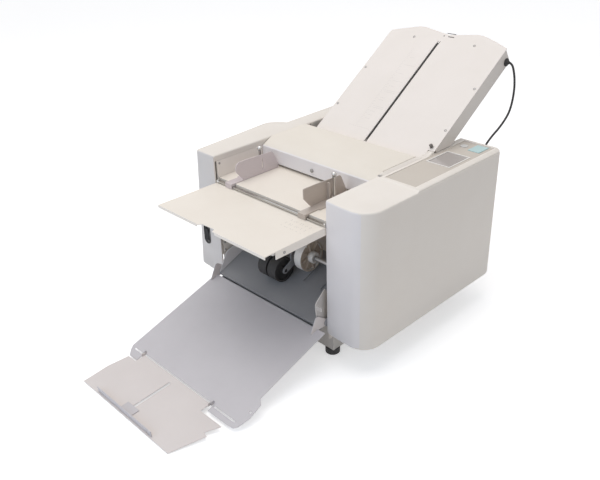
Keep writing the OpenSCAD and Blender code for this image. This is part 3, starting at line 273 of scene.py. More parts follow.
# colour and tint are mixed by the mottle or streaks; peel is the grain's scale, brushed the streaks' scale on each axis
looks = {
    # the paler edge colours below are rubbed paint and painted highlight together
    "creamPaint": {"colour": (0.80, 0.74, 0.66), "tint": (0.83, 0.775, 0.70), "rough": 0.46,
                   "wearAndSheen": 0.5, "wearSheenColour": (0.88, 0.84, 0.78)},
    "topPaint": {"colour": (0.75, 0.695, 0.615), "tint": (0.78, 0.73, 0.655), "rough": 0.46,
                 "wearAndSheen": 0.5, "wearSheenColour": (0.86, 0.82, 0.76)},
    # the feed table's front and right faces, paler than its top: painted light
    "tableEdgeLit": {"colour": (0.92, 0.855, 0.775), "tint": (0.94, 0.88, 0.80), "rough": 0.46},
    "plateCream": {"colour": (0.77, 0.72, 0.675), "tint": (0.80, 0.75, 0.71), "rough": 0.46},
    "plateSide": {"colour": (0.745, 0.695, 0.645), "tint": (0.765, 0.715, 0.67), "rough": 0.5},
    "coverPlastic": {"colour": (0.80, 0.748, 0.685), "tint": (0.825, 0.778, 0.72), "rough": 0.44,
                     "peel": 1300.0, "bump": 0.16},
    # the covers' front faces, a cooler copy of coverPlastic: painted light, the tint of the cool front lamp
    "coverFrontLitCool": {"colour": (0.79, 0.755, 0.75), "tint": (0.815, 0.785, 0.785), "rough": 0.44,
                   "peel": 1300.0, "bump": 0.16},
    # the left cover's plastic is a darker copy of coverPlastic: painted shade
    "leftPlastic": {"colour": (0.755, 0.705, 0.645), "tint": (0.78, 0.735, 0.68), "rough": 0.44,
                    "peel": 1300.0, "bump": 0.16},
    # the left cover's front faces, darker and cooler than its top: painted shade
    "leftFrontShaded": {"colour": (0.66, 0.635, 0.62), "tint": (0.685, 0.66, 0.65), "rough": 0.44,
                  "peel": 1300.0, "bump": 0.16},
    "coverShade": {"colour": (0.84, 0.79, 0.73), "tint": (0.86, 0.81, 0.755), "rough": 0.5},
    "paleSheet": {"colour": (0.70, 0.665, 0.62), "tint": (0.735, 0.70, 0.655), "rough": 0.48},
    "wallSteel": {"colour": (0.74, 0.715, 0.71), "tint": (0.78, 0.755, 0.75), "rough": 0.46},
    "bracketSteel": {"colour": (0.56, 0.53, 0.50), "tint": (0.66, 0.63, 0.60), "rough": 0.38, "metal": 0.4,
                     "brushed": (900.0, 40.0, 900.0)},
    "frameSteel": {"colour": (0.44, 0.43, 0.425), "tint": (0.54, 0.53, 0.52), "rough": 0.42, "metal": 0.6,
                   "brushed": (900.0, 40.0, 900.0)},
    "guideSteel": {"colour": (0.46, 0.405, 0.36), "tint": (0.56, 0.50, 0.455), "rough": 0.45, "metal": 0.25,
                   "brushed": (900.0, 50.0, 1200.0), "bump": 0.2},
    "guidePale": {"colour": (0.575, 0.51, 0.515), "tint": (0.68, 0.615, 0.63), "rough": 0.45, "metal": 0.2,
                  "brushed": (900.0, 50.0, 1200.0), "bump": 0.2},
    "chromeBright": {"colour": (0.46, 0.45, 0.44), "tint": (0.56, 0.55, 0.54), "rough": 0.16, "metal": 1.0,
                     "roughSpan": 0.03, "bump": 0.03},
    "screwZinc": {"colour": (0.30, 0.29, 0.28), "tint": (0.40, 0.39, 0.38), "rough": 0.45, "metal": 0.7},
    "trayPlastic": {"colour": (0.575, 0.55, 0.565), "tint": (0.61, 0.585, 0.60), "rough": 0.40, "peel": 700.0},
    # paler tray plastic: the extension's own colour, and painted light on the tray arm's faces that look to +x
    "trayPale": {"colour": (0.715, 0.66, 0.635), "tint": (0.745, 0.69, 0.665), "rough": 0.42, "peel": 700.0},
    "darkPlastic": {"colour": (0.275, 0.275, 0.285), "tint": (0.315, 0.315, 0.325), "rough": 0.52,
                    "peel": 800.0, "bump": 0.22},
    "blackPlastic": {"colour": (0.016, 0.016, 0.017), "tint": (0.024, 0.024, 0.025), "rough": 0.28},
    "rockerBlack": {"colour": (0.020, 0.020, 0.023), "tint": (0.028, 0.028, 0.031), "rough": 0.62, "specular": 0.25},
    "knobBrown": {"colour": (0.12, 0.105, 0.095), "tint": (0.16, 0.14, 0.13), "rough": 0.5},
    "blackRubber": {"colour": (0.026, 0.025, 0.025), "tint": (0.042, 0.040, 0.039), "rough": 0.72,
                    "peel": 600.0, "bump": 0.3},
    "padRubber": {"colour": (0.10, 0.055, 0.04), "tint": (0.13, 0.075, 0.055), "rough": 0.75, "bump": 0.3},
    "footRubber": {"colour": (0.035, 0.033, 0.033), "tint": (0.05, 0.048, 0.047), "rough": 0.6},
    "whitePlastic": {"colour": (0.80, 0.775, 0.74), "tint": (0.84, 0.815, 0.78), "rough": 0.42},
    "webTan": {"colour": (0.50, 0.42, 0.345), "tint": (0.60, 0.52, 0.44), "rough": 0.5},
    "lightGrey": {"colour": (0.62, 0.61, 0.59), "tint": (0.66, 0.65, 0.63), "rough": 0.40},
    "paleBlueKey": {"colour": (0.44, 0.62, 0.63), "tint": (0.47, 0.65, 0.66), "rough": 0.40},
    "panelFilm": {"colour": (0.56, 0.51, 0.45), "tint": (0.59, 0.54, 0.48), "rough": 0.50, "peel": 2200.0, "bump": 0.2},
    "screenGlass": {"colour": (0.405, 0.372, 0.355), "tint": (0.43, 0.395, 0.375), "rough": 0.16,
                    "coat": 0.6, "coatRough": 0.06, "bump": 0.02},
    "markFaint": {"colour": (0.53, 0.50, 0.48), "tint": (0.60, 0.57, 0.55), "rough": 0.55},
    "markGrey": {"colour": (0.30, 0.28, 0.265), "tint": (0.36, 0.34, 0.32), "rough": 0.6},
    # dark marks and the fold stop's own dark; also painted shade in the fold plate's pocket and along its slot
    "markDark": {"colour": (0.07, 0.065, 0.065), "tint": (0.10, 0.095, 0.09), "rough": 0.6},
}
finishes = {name: makeFinish(name, look) for name, look in looks.items()}
slotFinish = {"cream_paint": "creamPaint", "cover_plastic": "coverPlastic", "pale_sheet": "paleSheet",
              "frame_steel": "frameSteel", "guide_steel": "guideSteel", "chrome": "chromeBright",
              "tray_plastic": "trayPlastic", "dark_plastic": "darkPlastic", "black_plastic": "blackPlastic",
              "black_rubber": "blackRubber", "pad": "padRubber", "white_plastic": "whitePlastic",
              "panel_film": "panelFilm", "screen": "screenGlass", "pale_blue_key": "paleBlueKey",
              "light_grey": "lightGrey"}
nodeSlot = {row["node"]: row["material_slot"] for row in frame["record"]["subparts"]}
print("finishes made:", len(finishes))


# makers of new pieces
def gridMesh(name, points, closeU=False, closeV=False, capEnds=False):
    # points[i, j] in metres become quads; closeU and closeV join the last row or column to the first
    n, m = points.shape[:2]
    index = np.arange(n * m).reshape(n, m)
    if closeV:
        index = np.hstack([index, index[:, :1]])
    if closeU:
        index = np.vstack([index, index[:1]])
    quads = np.stack([index[:-1, :-1], index[1:, :-1], index[1:, 1:], index[:-1, 1:]], -1).reshape(-1, 4)
    faces = quads.tolist()
    if capEnds:
        faces += [list(range(m)), list(range((n - 1) * m, n * m))[::-1]]
    mesh = bpy.data.meshes.new(name)
    mesh.from_pydata(points.reshape(-1, 3).tolist(), [], faces)
    mesh.validate()
    work = bmesh.new()
    work.from_mesh(mesh)
    bmesh.ops.recalc_face_normals(work, faces=work.faces)
    work.to_mesh(mesh)
    work.free()
    return mesh


def addPiece(name, mesh, finish, replaced=(), body="machine", smooth=True):
    mesh.materials.append(finishes[finish])
    mesh.polygons.foreach_set("use_smooth", [smooth] * len(mesh.polygons))
    piece = bpy.data.objects.new(name, mesh)
    scene.collection.objects.link(piece)
    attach(piece, body)
    if replaced:
        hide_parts(*replaced)
    return piece


def addFilm(name, rects, surface, finish):
    # flat four-cornered films; surface(u, v) gives their points in mm and each rect is (u0, u1, v0, v1)
    r = np.array(rects, float)
    corners = np.stack([surface(r[:, i], r[:, j]) for i, j in ((0, 2), (1, 2), (1, 3), (0, 3))], 1)
    mesh = bpy.data.meshes.new(name)
    mesh.from_pydata(at(corners).reshape(-1, 3).tolist(), [], np.arange(len(r) * 4).reshape(-1, 4).tolist())
    return addPiece(name, mesh, finish, smooth=False)


def circle(around):  # the angles of a ring
    return np.linspace(0, 2 * math.pi, around, endpoint=False)[None, :, None]


def turned(profile, place, direction, around=40):  # a profile of (distance along, radius) spun about a line
    axis = np.array(direction, float) / np.linalg.norm(direction)
    side = np.cross(axis, [0.0, 0.0, 1.0])
    side /= np.linalg.norm(side)
    turn, p = circle(around), np.array(profile, float)[:, :, None, None]
    rim = side * np.cos(turn) + np.cross(side, axis) * np.sin(turn)
    return at(np.array(place) + p[:, 0] * axis + p[:, 1] * rim)


def throughPoints(route, steps):  # a Catmull-Rom curve: each span a cubic through both ends with the neighbours' slopes
    p = np.vstack([route[0], route, route[-1]]).astype(float)
    t = np.linspace(0, 1, steps, endpoint=False)[None, :, None]
    a, b, c, d = (p[i:len(p) - 3 + i][:, None, :] for i in range(4))
    spans = b + t * (c - a) / 2 + t ** 2 * (a - 2.5 * b + 2 * c - d / 2) + t ** 3 * (1.5 * b - a / 2 - 1.5 * c + d / 2)
    return np.vstack([spans.reshape(-1, 3), route[-1]])


def sweptTube(name, line, radius, around):  # a circle carried along the line, its plane square to the line's direction
    step = np.gradient(line, axis=0)
    step /= np.linalg.norm(step, axis=1, keepdims=True)
    side = np.cross(step, [0.6, 0.75, 0.0])
    side /= np.linalg.norm(side, axis=1, keepdims=True)
    up, turn = np.cross(step, side)[:, None, :], circle(around)
    ring = line[:, None, :] + radius * (side[:, None, :] * np.cos(turn) + up * np.sin(turn))
    return gridMesh(name, ring, closeV=True, capEnds=True)


# the cable from the fold plate's side to the right cover; radius in metres, route in mm as in the part's source
cable = {"radius": 0.0026, "around": 14, "steps": 6,
         "route": [(373.5, 623, 554), (379, 623, 553), (385, 623, 547), (389, 624, 535), (393, 624, 518),
                   (397, 621, 494), (400, 613, 467), (402, 600, 444), (403, 580, 427), (404, 556, 414),
                   (404, 532, 403), (404, 512, 392), (404, 499, 381), (404, 491, 375.5), (404, 484, 374)]}


def addCable():
    line = at(throughPoints(cable["route"], cable["steps"]))
    tube = sweptTube("cableTube", line, cable["radius"], cable["around"])
    piece = addPiece("cableTube", tube, "blackRubber", ["cable"])


addCable()

# rubber grommets at both ends of the cable, as (distance out, radius) in mm; they stand for the plain glands
grommet = {"plate": [(-4.0, 4.4), (-0.1, 4.4), (0.05, 9.6), (2.4, 9.6), (3.2, 8.8), (3.6, 6.4), (5.0, 5.2), (9.0, 3.6),
                     (9.4, 2.4)],
           "cover": [(-5.0, 6.0), (0.1, 6.0), (0.15, 7.4), (1.6, 7.4), (2.4, 6.4), (6.5, 4.4), (7.0, 2.5)],
           "onPlate": (295.0, -29.0), "onCover": (404.0, 478.0, 374.0)}


def addGrommets():
    plateEnd = onFold(foldPlate["left"] + foldPlate["width"], *grommet["onPlate"])
    for name, rings in (("plateGrommet", turned(grommet["plate"], plateEnd, (1, 0, 0))),
                        ("coverGrommet", turned(grommet["cover"], grommet["onCover"], (0, 1, 0)))):
        mesh = gridMesh(name, rings, closeV=True, capEnds=True)
        addPiece(name, mesh, "blackRubber", ["cable_glands"])


addGrommets()


# how the machine's own solids are welded: distance in metres, flat and bevelFrom in degrees, openAngle in radians
weld = {"merge": 3e-6, "flat": 0.5, "openAngle": 3.2, "bevelFrom": 32, "segments": 2}


def weldedSkin(node, bevel, angle, finish):  # a welded copy of a solid with rounded edges, which stands for the node
    source = frame["nodes"][node]
    mesh = source.data.copy()
    work = bmesh.new()
    work.from_mesh(mesh)
    bmesh.ops.remove_doubles(work, verts=work.verts, dist=weld["merge"])
    bmesh.ops.dissolve_limit(work, angle_limit=math.radians(weld["flat"]), verts=work.verts, edges=work.edges)
    for edge in work.edges:
        turn = edge.calc_face_angle(weld["openAngle"])
        edge.smooth = len(edge.link_faces) == 2 and turn < math.radians(angle)
    for face in work.faces:
        face.smooth = True
    work.to_mesh(mesh)
    work.free()
    for label in [a.name for a in mesh.attributes if a.name == "custom_normal"]:
        mesh.attributes.remove(mesh.attributes[label])
    mesh.materials.clear()
    mesh.materials.append(finishes[finish or slotFinish[nodeSlot[node]]])
    piece = bpy.data.objects.new(node + "Skin", mesh)
    scene.collection.objects.link(piece)
    if bevel:
        rounder = piece.modifiers.new("roundedEdges", "BEVEL")
        rounder.width, rounder.segments = bevel / 1000, weld["segments"]
        rounder.limit_method, rounder.angle_limit = "ANGLE", math.radians(max(angle, weld["bevelFrom"]))
        rounder.use_clamp_overlap = False
        rounder.harden_normals = True
    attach(piece, source["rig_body"])
    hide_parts(node)
    return piece


# edge radius in mm, smoothing angle in degrees
skins = {
    "left_cover": (0, 50), "right_cover": (0, 50), "rear_panel": (0.3, 35), "base_frame": (0.3, 35),
    "side_plates": (0.3, 35), "tie_rods": (0.4, 35), "feet": (0.5, 35), "feed_bed": (0.3, 35),
    "sheet_guides": (0.2, 35), "separator_pad": (0.2, 35), "guide_rail": (0.3, 35), "feed_table": (0.45, 35),
    "wall_brackets": (0.3, 35), "body_screws": (0, 35), "chute": (0.3, 35), "chute_walls": (0.3, 35),
    "pivot_pins": (0.3, 35), "fold_plate_top": (0, 35), "fold_plate_box": (0, 35), "fold_plate_screws": (0, 35),
    "plate_motor": (0.4, 35), "stop_rail": (0.3, 35), "lower_fold_plate": (0.2, 35), "plate_knob": (0.2, 35),
    "mains_inlet": (0.4, 35), "drive_motor": (0.5, 35), "drive_pinion": (0, 30), "panel_plate": (0.2, 35),
    "display": (0.1, 35), "display_frame": (0.2, 35), "rocker": (0.3, 35), "start_key": (0.5, 35),
    "oval_key": (0.5, 35), "top_cover": (0.4, 35), "cover_knob": (0.4, 35), "guide_left": (0.3, 35),
    "guide_right": (0.3, 35), "guide_pin_left": (0, 35), "guide_pin_right": (0, 35), "feed_roller": (0.3, 35),
    "fold_roller_a": (0.2, 35), "fold_roller_b": (0.2, 35), "fold_roller_c": (0.2, 35), "fold_roller_d": (0.2, 35),
    "gear_a": (0, 30), "gear_b": (0, 30), "gear_c": (0, 30), "gear_d": (0, 30), "stacker_shaft": (0.2, 35),
    "stacker_wheels": (0.4, 35), "press_arm": (0.4, 35), "press_wheels": (0.5, 35), "tray": (0.35, 35),
    "tray_extension": (0.35, 35), "tray_stop": (0.35, 35), "fold_stop": (0.2, 35), "lower_stop": (0.2, 35)}
# nodes whose finish isn't their slot's first one
# left_cover takes the darker copy of the cover plastic, which is painted shade
ownFinish = {"feet": "footRubber", "left_cover": "leftPlastic", "top_cover": "topPaint", "side_plates": "coverShade",
             "chute_walls": "wallSteel", "fold_plate_box": "plateSide", "tray_extension": "trayPale",
             "stacker_wheels": "whitePlastic", "fold_plate_top": "plateCream", "fold_plate_screws": "screwZinc",
             "body_screws": "screwZinc", "guide_left": "guidePale", "plate_knob": "knobBrown",
             "cover_knob": "screwZinc", "fold_stop": "markDark", "rocker": "rockerBlack"}
pieces = {node: weldedSkin(node, *edges, ownFinish.get(node)) for node, edges in skins.items()}
print("skins made:", len(pieces))


def warpSkin(node, cuts, move):  # cuts the skin along planes (normal, point in mm) and shifts its points by move(points)
    mesh = pieces[node].data
    work = bmesh.new()
    work.from_mesh(mesh)
    for normal, point in cuts:
        bmesh.ops.bisect_plane(work, geom=work.verts[:] + work.edges[:] + work.faces[:], plane_co=at(point),
                               plane_no=normal, dist=1e-6)
    bmesh.ops.triangulate(work, faces=[f for f in work.faces if len(f.verts) > 4])
    work.to_mesh(mesh)
    work.free()
    points = np.empty(len(mesh.vertices) * 3, np.float32)
    mesh.vertices.foreach_get("co", points)
    placed = inMachine(points)
    mesh.vertices.foreach_set("co", at(placed + move(placed)).astype(np.float32).ravel())
    mesh.update()


def ramp(value, low, high):  # 0 below low, 1 above high, straight between
    return np.clip((value - low) / (high - low), 0, 1)


def eased(t):  # 3t^2 - 2t^3
    return t * t * (3 - 2 * t)


# shallow dish at the fold plate's upper end, in mm; it fades out below the top sheet; cuts across and along
dish = {"left": 103.0, "right": 280.0, "start": 281.0, "end": 342.0, "depth": 3.2, "fade": (-18.0, -2.0),
        "cuts": (33, 17)}


def dishDepth(x, s):  # depth x eased rise along the slope x eased fall to both sides
    half = (dish["right"] - dish["left"]) / 2
    toSides = eased(np.clip(1 - np.abs(x - dish["left"] - half) / half, 0, 1))
    return dish["depth"] * eased(ramp(s, dish["start"], dish["end"])) * toSides


def dishMove(p):  # into the face by dishDepth x a straight fade below the top sheet
    s, o = foldPlace(p)
    return -dishDepth(p[:, 0], s)[:, None] * ramp(o, *dish["fade"])[:, None] * offSlope


def dishCuts():  # evenly spaced planes across the plate and up its slope
    across = np.linspace(dish["left"], dish["right"], dish["cuts"][0])
    along = np.linspace(dish["start"], dish["end"], dish["cuts"][1])
    return [((1.0, 0.0, 0.0), onFold(x, 0, 0)) for x in across] + [(tuple(upSlope), onFold(0, s, 0)) for s in along]


# the left cover's front corner widens toward its lower edge; only points left of the corner line move
flare = {"out": 20.0, "corner": -60.6, "edge": 0.4, "back": 238.0, "front": 9.0, "low": 91.0, "high": 397.0,
         "cutsY": (9.0, 55.0, 101.0, 147.0, 193.0, 238.0), "cutsZ": (91.0, 142.0, 193.0, 244.0, 295.0, 346.0, 397.0)}


def flareMove(p):  # out x straight fall toward the back x straight fall toward the top
    beyond = ramp(-p[:, 0], -flare["corner"], flare["edge"] - flare["corner"])
    toBack = ramp(-p[:, 1], -flare["back"], -flare["front"])
    toTop = ramp(-p[:, 2], -flare["high"], -flare["low"])
    return (flare["out"] * beyond * toBack * toTop)[:, None] * np.array([-1.0, 0.0, 0.0])


def flareCuts():  # planes at the corner line, along the cover and up it
    return [((1.0, 0.0, 0.0), (flare["corner"] - d, 0, 0)) for d in (0.0, flare["edge"])] \
        + [((0.0, 1.0, 0.0), (0, y, 0)) for y in flare["cutsY"]] \
        + [((0.0, 0.0, 1.0), (0, 0, z)) for z in flare["cutsZ"]]


# centre of the arc at the right guide's upper front corner, which is squared; points nearer than clear stay
guideCorner = {"y": 31.0, "z": 379.0, "clear": 0.01}


def squareMove(p):  # each point of the arc moves out to the square around it
    d = p[:, 1:] - np.array([guideCorner["y"], guideCorner["z"]])
    onArc = (d[:, 0] < -guideCorner["clear"]) & (d[:, 1] > guideCorner["clear"])
    grow = np.where(onArc, np.hypot(*d.T) / np.maximum(np.abs(d).max(1), 1e-6), 1.0)
    return np.hstack([np.zeros((len(p), 1)), d * (grow[:, None] - 1)])


warpSkin("fold_plate_top", dishCuts(), dishMove)
warpSkin("fold_plate_box", dishCuts(), dishMove)
warpSkin("left_cover", flareCuts(), flareMove)
warpSkin("guide_right", [], squareMove)
print("skins shaped")


def paintFaces(node, finish, chosen):  # gives another finish to the faces that chosen(middles in mm, normals) picks
    mesh = pieces[node].data
    middles, normals = (np.empty(len(mesh.polygons) * 3, np.float32) for _ in range(2))
    mesh.polygons.foreach_get("center", middles)
    mesh.polygons.foreach_get("normal", normals)
    picked = chosen(inMachine(middles), normals.reshape(-1, 3))
    mesh.materials.append(finishes[finish])
    mesh.polygons.foreach_set("material_index", picked.astype(np.int32))


# stacker wheel's axis, and the radii between which its web shows, in mm
wheel = {"y": 87.0, "z": 186.70, "hub": 10.5, "rim": 32.5}


def inWeb(p, n):  # distance from the axis between hub and rim
    reach = np.hypot(p[:, 1] - wheel["y"], p[:, 2] - wheel["z"])
    return (reach > wheel["hub"]) & (reach < wheel["rim"])


# the fold plate's pocket, whose faces are painted dark as shade, in mm from its sides and off its face; facing is how
# squarely a face looks out of it
pocket = {"margin": 4.0, "top": -1.0, "bottom": -24.0, "facing": 0.5}


# picks the pocket's faces for painted shade
def inShadedPocket(p, n):  # faces inside the fold plate's pocket, seen through its slot
    x, o = p[:, 0] - foldPlate["left"], foldPlace(p)[1]
    inner = (x > pocket["margin"]) & (x < foldPlate["width"] - pocket["margin"])
    return inner & (o < pocket["top"]) & (o > pocket["bottom"]) & (n @ offSlope > pocket["facing"])


# how squarely a face looks along an axis to be picked, and the places in mm that part the painted faces from the rest
picks = {"edge": 0.7, "front": 0.85, "side": 0.8, "coverBack": 190.0, "trayFront": -20.0, "chuteMiddle": 175.0}
paintFaces("stacker_wheels", "webTan", inWeb)
# the pocket's faces seen through the slot are painted dark: painted shade
paintFaces("fold_plate_box", "markDark", inShadedPocket)
# the feed table's front and right faces are painted lighter: painted light
paintFaces("feed_table", "tableEdgeLit", lambda p, n: (n[:, 1] < -picks["edge"]) | (n[:, 0] > picks["edge"]))
# the right cover's front faces get painted light, a cooler tint
paintFaces("right_cover", "coverFrontLitCool", lambda p, n: n[:, 1] < -picks["front"])
# the left cover's front faces get painted shade
paintFaces("left_cover", "leftFrontShaded", lambda p, n: n[:, 1] < -picks["front"])
# the top cover's front faces get the same painted cool light
paintFaces("top_cover", "coverFrontLitCool", lambda p, n: (n[:, 1] < -picks["edge"]) & (p[:, 1] < picks["coverBack"]))
# the tray arm's faces that look to +x are painted lighter: painted light
paintFaces("tray", "trayPale", lambda p, n: (n[:, 0] > picks["side"]) & (p[:, 1] > picks["trayFront"]))
paintFaces("chute_walls", "bracketSteel", lambda p, n: p[:, 0] > picks["chuteMiddle"])
print("faces painted")

# plain marks on the fold plate in mm, beside its slot: ticks up the scale, which end long and short by turns,
# longer lines, small blocks, and a row of dots below them
marks = {"lift": 0.06, "left": 118.0, "ticks": (-2.0, 268.0, 5.0), "tickEnds": (1.0, 9.0, 5.0), "tickThick": 0.35,
         "lines": (58.0, 63.0, 112.0, 117.0, 150.0, 206.0), "lineEnds": (12.0, 44.0), "lineThick": 0.4,
         "blocks": (22.0, 34.0, 46.0, 84.0, 92.0, 132.0, 176.0, 232.0), "blockX": (132.0, 137.0, 142.0),
         "blockSize": (3.0, 0.7), "dots": (103.0, 168.0, 6.0), "dotWide": 2.2, "dotEnds": (-7.5, -6.7)}
# dark films along both edges of the slot, which are painted shade, and small slots at the plate's upper end as (left,
# right, low, high)
plateSlot = {"x": 178.5, "half": 2.0, "gap": 0.02, "rim": 1.8, "stops": (-43.0, 281.0, 286.0, 291.0, 296.0, 301.0)}
latches = [(183.0, 210.0, 330.5, 333.1), (192.0, 210.0, 319.5, 322.5), (178.0, 181.5, 319.5, 323.0)]


def onDish(lift):  # lift above the plate's face, which the dish lowers
    return lambda x, s: onFold(x, s, lift - dishDepth(x, s))


def markFoldPlate():
    left, thick, lineThick = marks["left"], marks["tickThick"], marks["lineThick"]
    start, long, short = (left + end for end in marks["tickEnds"])
    lineStart, lineEnd = (left + end for end in marks["lineEnds"])
    wide, tall = marks["blockSize"]
    rects = [(start, short if i % 2 else long, s, s + thick) for i, s in enumerate(np.arange(*marks["ticks"]))]
    rects += [(lineStart, lineEnd, s, s + lineThick) for s in marks["lines"]]
    rects += [(x, x + wide, s, s + tall) for s in marks["blocks"] for x in marks["blockX"]]
    rects += [(x, x + marks["dotWide"], *marks["dotEnds"]) for x in np.arange(*marks["dots"])]
    addFilm("scaleTicks", rects, onDish(marks["lift"]), "markFaint")
    x, half, gap, rim, stops = (plateSlot[label] for label in ("x", "half", "gap", "rim", "stops"))
    rimShades = [(x + a, x + b, low, high) for low, high in zip(stops[:-1], stops[1:])
            for a, b in ((-half - rim, -half - gap), (half + gap, half + rim))]
    # dark films beside the slot: painted shade at its edges
    addFilm("slotEdgeShade", rimShades, onDish(marks["lift"]), "markDark")
    addFilm("latchSlots", latches, onDish(marks["lift"] * 2), "markDark")


markFoldPlate()

# small marks in rows near the table's right rear corner, in mm; a part of them is left out by the sum of their places
tableMarks = {"rows": (-16.0, -20.0, -32.0, -36.0, -48.0), "columns": (268.0, 330.0, 5.5), "wide": 2.6, "tall": 0.7}


def markTable():
    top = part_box("feed_table")[1].z * 1000 + marks["lift"]
    rects = [(x, x + tableMarks["wide"], y, y + tableMarks["tall"]) for y in tableMarks["rows"]
             for x in np.arange(*tableMarks["columns"]) if (x * 7 + y * 3) % 4 > 1]
    addFilm("tableMarks", rects, lambda x, y: np.stack([x, y, np.full_like(x, top)], -1), "markGrey")


markTable()

# dark sheets of painted shade under the chute close its slots and the view to the floor: rects are (left, right, front,
# back) in mm, drop is the distance below the chute's face, which rises by tan(tilt) from its front edge at y and z
chuteFace = {"y": 4.0, "z": 111.0, "tilt": 22.0}
shadeSheets = {"slotBackShade": {"rects": [(55.0, 297.0, 55.0, 140.0)], "drop": 2.9},
               "bayShadeFloor": {"rects": [(7.0, 345.0, -14.0, 20.0), (0.5, 351.5, 20.0, 150.0)], "drop": 18.0}}


def underChute(drop):  # the chute's sloped face, drop lower
    rise = math.tan(math.radians(chuteFace["tilt"]))
    return lambda x, y: np.stack([x, y, chuteFace["z"] + (y - chuteFace["y"]) * rise - drop], -1)


# painted shade: dark sheets where the machine's inside lies in shadow
for name, sheet in shadeSheets.items():
    addFilm(name, sheet["rects"], underChute(sheet["drop"]), "darkPlastic")
print("marks and bay floor made")

# stadium rim and well round the power switch, in mm: half width and half height, standing on the left cover's front
switchWell = {"x": -52.0, "z": 182.5, "wide": 12.2, "tall": 27.0, "proud": 1.4, "round": 0.4, "rim": 2.0,
              "rimFoot": 0.1, "gap": 0.05, "deep": 0.5, "wellFoot": 0.12, "rocker": (5.9, 19.3)}


def stadium(half, tall, count=48):  # a half circle at each end of a straight-sided slot
    turn = np.linspace(0, 2 * math.pi, count, endpoint=False) + 1e-6
    return np.stack([half * np.cos(turn), half * np.sin(turn) + np.sign(np.sin(turn)) * (tall - half)], 1)


def stadiumRings(rings):  # rings of (half width, half height, distance in front of the cover) joined in order
    flat = [np.insert(stadium(a, b), 1, -o, axis=1) for a, b, o in rings]
    return at(np.array(flat) + np.array([switchWell["x"], 0.0, switchWell["z"]]))


def addSwitchWell():
    outer, proud, soft = (switchWell["wide"], switchWell["tall"]), switchWell["proud"], switchWell["round"]
    edge = [size - soft for size in outer]
    inner = [size - switchWell["rim"] for size in outer]
    well = [size - switchWell["gap"] for size in inner]
    foot, wellFoot, deep, rocker = (switchWell[label] for label in ("rimFoot", "wellFoot", "deep", "rocker"))
    rimRings = [(*outer, foot), (*outer, proud - soft), (*edge, proud), (*inner, proud), (*inner, foot)]
    wellRings = [(*well, wellFoot), (*well, deep), (*rocker, deep), (*rocker, wellFoot)]
    for name, rings in (("switchRim", rimRings), ("switchFloor", wellRings)):
        addPiece(name, gridMesh(name, stadiumRings(rings), closeU=True, closeV=True), "blackPlastic",
                 ["switch_bezel"])


addSwitchWell()

# raised hub of the right stacker wheel: its face in mm, and rings of (distance out, radius)
hub = {"x": 227.0, "rings": [(0.05, 13.5), (11.0, 13.5), (12.2, 12.3), (12.2, 7.2), (10.0, 7.0), (10.0, 5.4)]}
hubRings = turned(hub["rings"], (hub["x"], wheel["y"], wheel["z"]), (1, 0, 0))
addPiece("wheelHub", gridMesh("wheelHub", hubRings, closeV=True), "whitePlastic",
         body=frame["nodes"]["stacker_wheels"]["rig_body"])

# moulded lip along the right cover, level with the top cover's end; grid is the points across and along
lip = {"x": 352.5, "run": 8.0, "front": 163.0, "back": 312.0, "low": 399.05, "high": 402.6, "fade": 9.0,
       "grid": (9, 12)}


def lipBody():  # an eased fall across the run, carried from front to back, low at both ends
    across, rows = (np.linspace(0, 1, count) for count in lip["grid"])
    x = np.concatenate([[lip["x"]], lip["x"] + lip["run"] * across])
    rise = np.concatenate([[0.0], (lip["high"] - lip["low"]) * (1 - eased(across))])
    fade = np.minimum(1, np.minimum(rows, 1 - rows) * lip["fade"])
    x, y = np.broadcast_arrays(x[None, :], (lip["front"] + (lip["back"] - lip["front"]) * rows)[:, None])
    return at(np.stack([x, y, lip["low"] + rise[None, :] * fade[:, None]], -1))


# ramp that carries the right cover's top up to the fold plate's lower right corner
coverRamp = {"left": 352.6, "right": 366.6, "front": 322.0, "back": 346.8, "low": 399.05, "high": 404.0,
             "step": 0.02, "round": 0.6, "droop": 0.5, "rows": 10}


def rampBody():  # an eased rise from front to back, carried to the right, where its edge droops more toward the back
    left, right, front, back = (coverRamp[label] for label in ("left", "right", "front", "back"))
    low, high, rows = coverRamp["low"], coverRamp["high"], np.linspace(0, 1, coverRamp["rows"])
    top = np.stack([front + (back - front) * rows, low + coverRamp["step"] + (high - low) * eased(rows)], 1)
    side = np.vstack([top, [(back, low), (front, low)]])
    walls = np.stack([np.insert(side, 0, x, axis=1) for x in (left, right - coverRamp["round"], right)])
    walls[2, :len(rows), 2] -= coverRamp["droop"] * rows
    return at(walls)


for name, grid in (("coverLip", lipBody()), ("coverRamp", rampBody())):
    addPiece(name, gridMesh(name, grid, closeV=True, capEnds=True), "coverPlastic")
print("switch well, hub, lip and ramp made")

# floor's size and depth under the feet in metres, its grey and finish; strengths of the world and the floor's own light
stage = {"floor": 12.0, "under": 0.0003, "pale": 0.90, "rough": 0.9, "specular": 0.1,
         "sky": (0.955, 0.962, 0.992), "world": 0.495, "lift": 0.52}
# place in metres, size in metres, energy in watts, colour; all look at the same point
softboxes = {"overheadBox": ((-0.3, -0.3, 2.4), 2.2, 30.5, (1.0, 0.965, 0.93)),
             "frontBox": ((0.2, -2.4, 1.3), 1.6, 7.0, (0.40, 0.68, 1.05)),
             "leftBox": ((-2.0, -1.0, 1.5), 1.4, 0.6, (1.0, 1.0, 1.0))}
lookAt = (0.0, 0.0, 0.2)


def lightPathWhite(tree, plain, white):  # plain for light, white for what camera, mirror and glass rays see
    path = tree.nodes.new("ShaderNodeLightPath")
    seen = mathNode(tree, "ADD", path.outputs["Is Camera Ray"], path.outputs["Is Glossy Ray"])
    seen = mathNode(tree, "ADD", seen, path.outputs["Is Transmission Ray"], clamp=True)
    mix = tree.nodes.new("ShaderNodeMixShader")
    for socket, value in zip(mix.inputs, (seen, plain, white)):
        tree.links.new(value, socket)
    return mix.outputs[0]


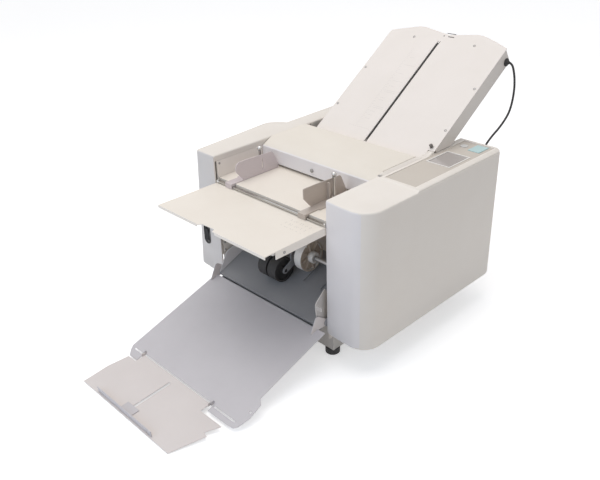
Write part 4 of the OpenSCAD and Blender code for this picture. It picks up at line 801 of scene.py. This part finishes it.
def makeSky():
    scene.world = bpy.data.worlds.new("studio")
    scene.world.use_nodes = True
    tree = scene.world.node_tree
    sky = tree.nodes["Background"]
    sky.inputs["Color"].default_value = (*stage["sky"], 1.0)
    sky.inputs["Strength"].default_value = stage["world"]
    backdrop = tree.nodes.new("ShaderNodeBackground")
    backdrop.inputs["Color"].default_value = (1.0, 1.0, 1.0, 1.0)
    white = lightPathWhite(tree, sky.outputs[0], backdrop.outputs[0])
    tree.links.new(white, tree.nodes["World Output"].inputs["Surface"])


def makeFloor():  # a pale sheet just under the feet that keeps the shadow
    mesh = bpy.data.meshes.new("floor")
    half, low = stage["floor"] / 2, -stage["under"]
    corners = [(-half, -half, low), (half, -half, low), (half, half, low), (-half, half, low)]
    mesh.from_pydata(corners, [], [(0, 1, 2, 3)])
    floor = bpy.data.objects.new("floor", mesh)
    scene.collection.objects.link(floor)
    mat = bpy.data.materials.new("paleFloor")
    mat.use_nodes = True
    tree = mat.node_tree
    shader = tree.nodes["Principled BSDF"]
    shader.inputs["Base Color"].default_value = (stage["pale"], stage["pale"], stage["pale"], 1.0)
    shader.inputs["Roughness"].default_value = stage["rough"]
    shader.inputs["Specular IOR Level"].default_value = stage["specular"]
    lift = tree.nodes.new("ShaderNodeEmission")
    lift.inputs["Strength"].default_value = stage["lift"]
    both = tree.nodes.new("ShaderNodeAddShader")
    tree.links.new(shader.outputs[0], both.inputs[0])
    tree.links.new(lift.outputs[0], both.inputs[1])
    white = lightPathWhite(tree, shader.outputs[0], both.outputs[0])
    tree.links.new(white, tree.nodes["Material Output"].inputs["Surface"])
    mesh.materials.append(mat)


def addSoftbox(name, place, size, energy, colour):  # a square lamp turned to lookAt
    data = bpy.data.lights.new(name, "AREA")
    data.size, data.energy, data.color = size, energy, colour
    lamp = bpy.data.objects.new(name, data)
    scene.collection.objects.link(lamp)
    lamp.location = place
    lamp.rotation_euler = (Vector(lookAt) - Vector(place)).to_track_quat("-Z", "Y").to_euler()


makeSky()
makeFloor()
for name, box in softboxes.items():
    addSoftbox(name, *box)
print("stage set")
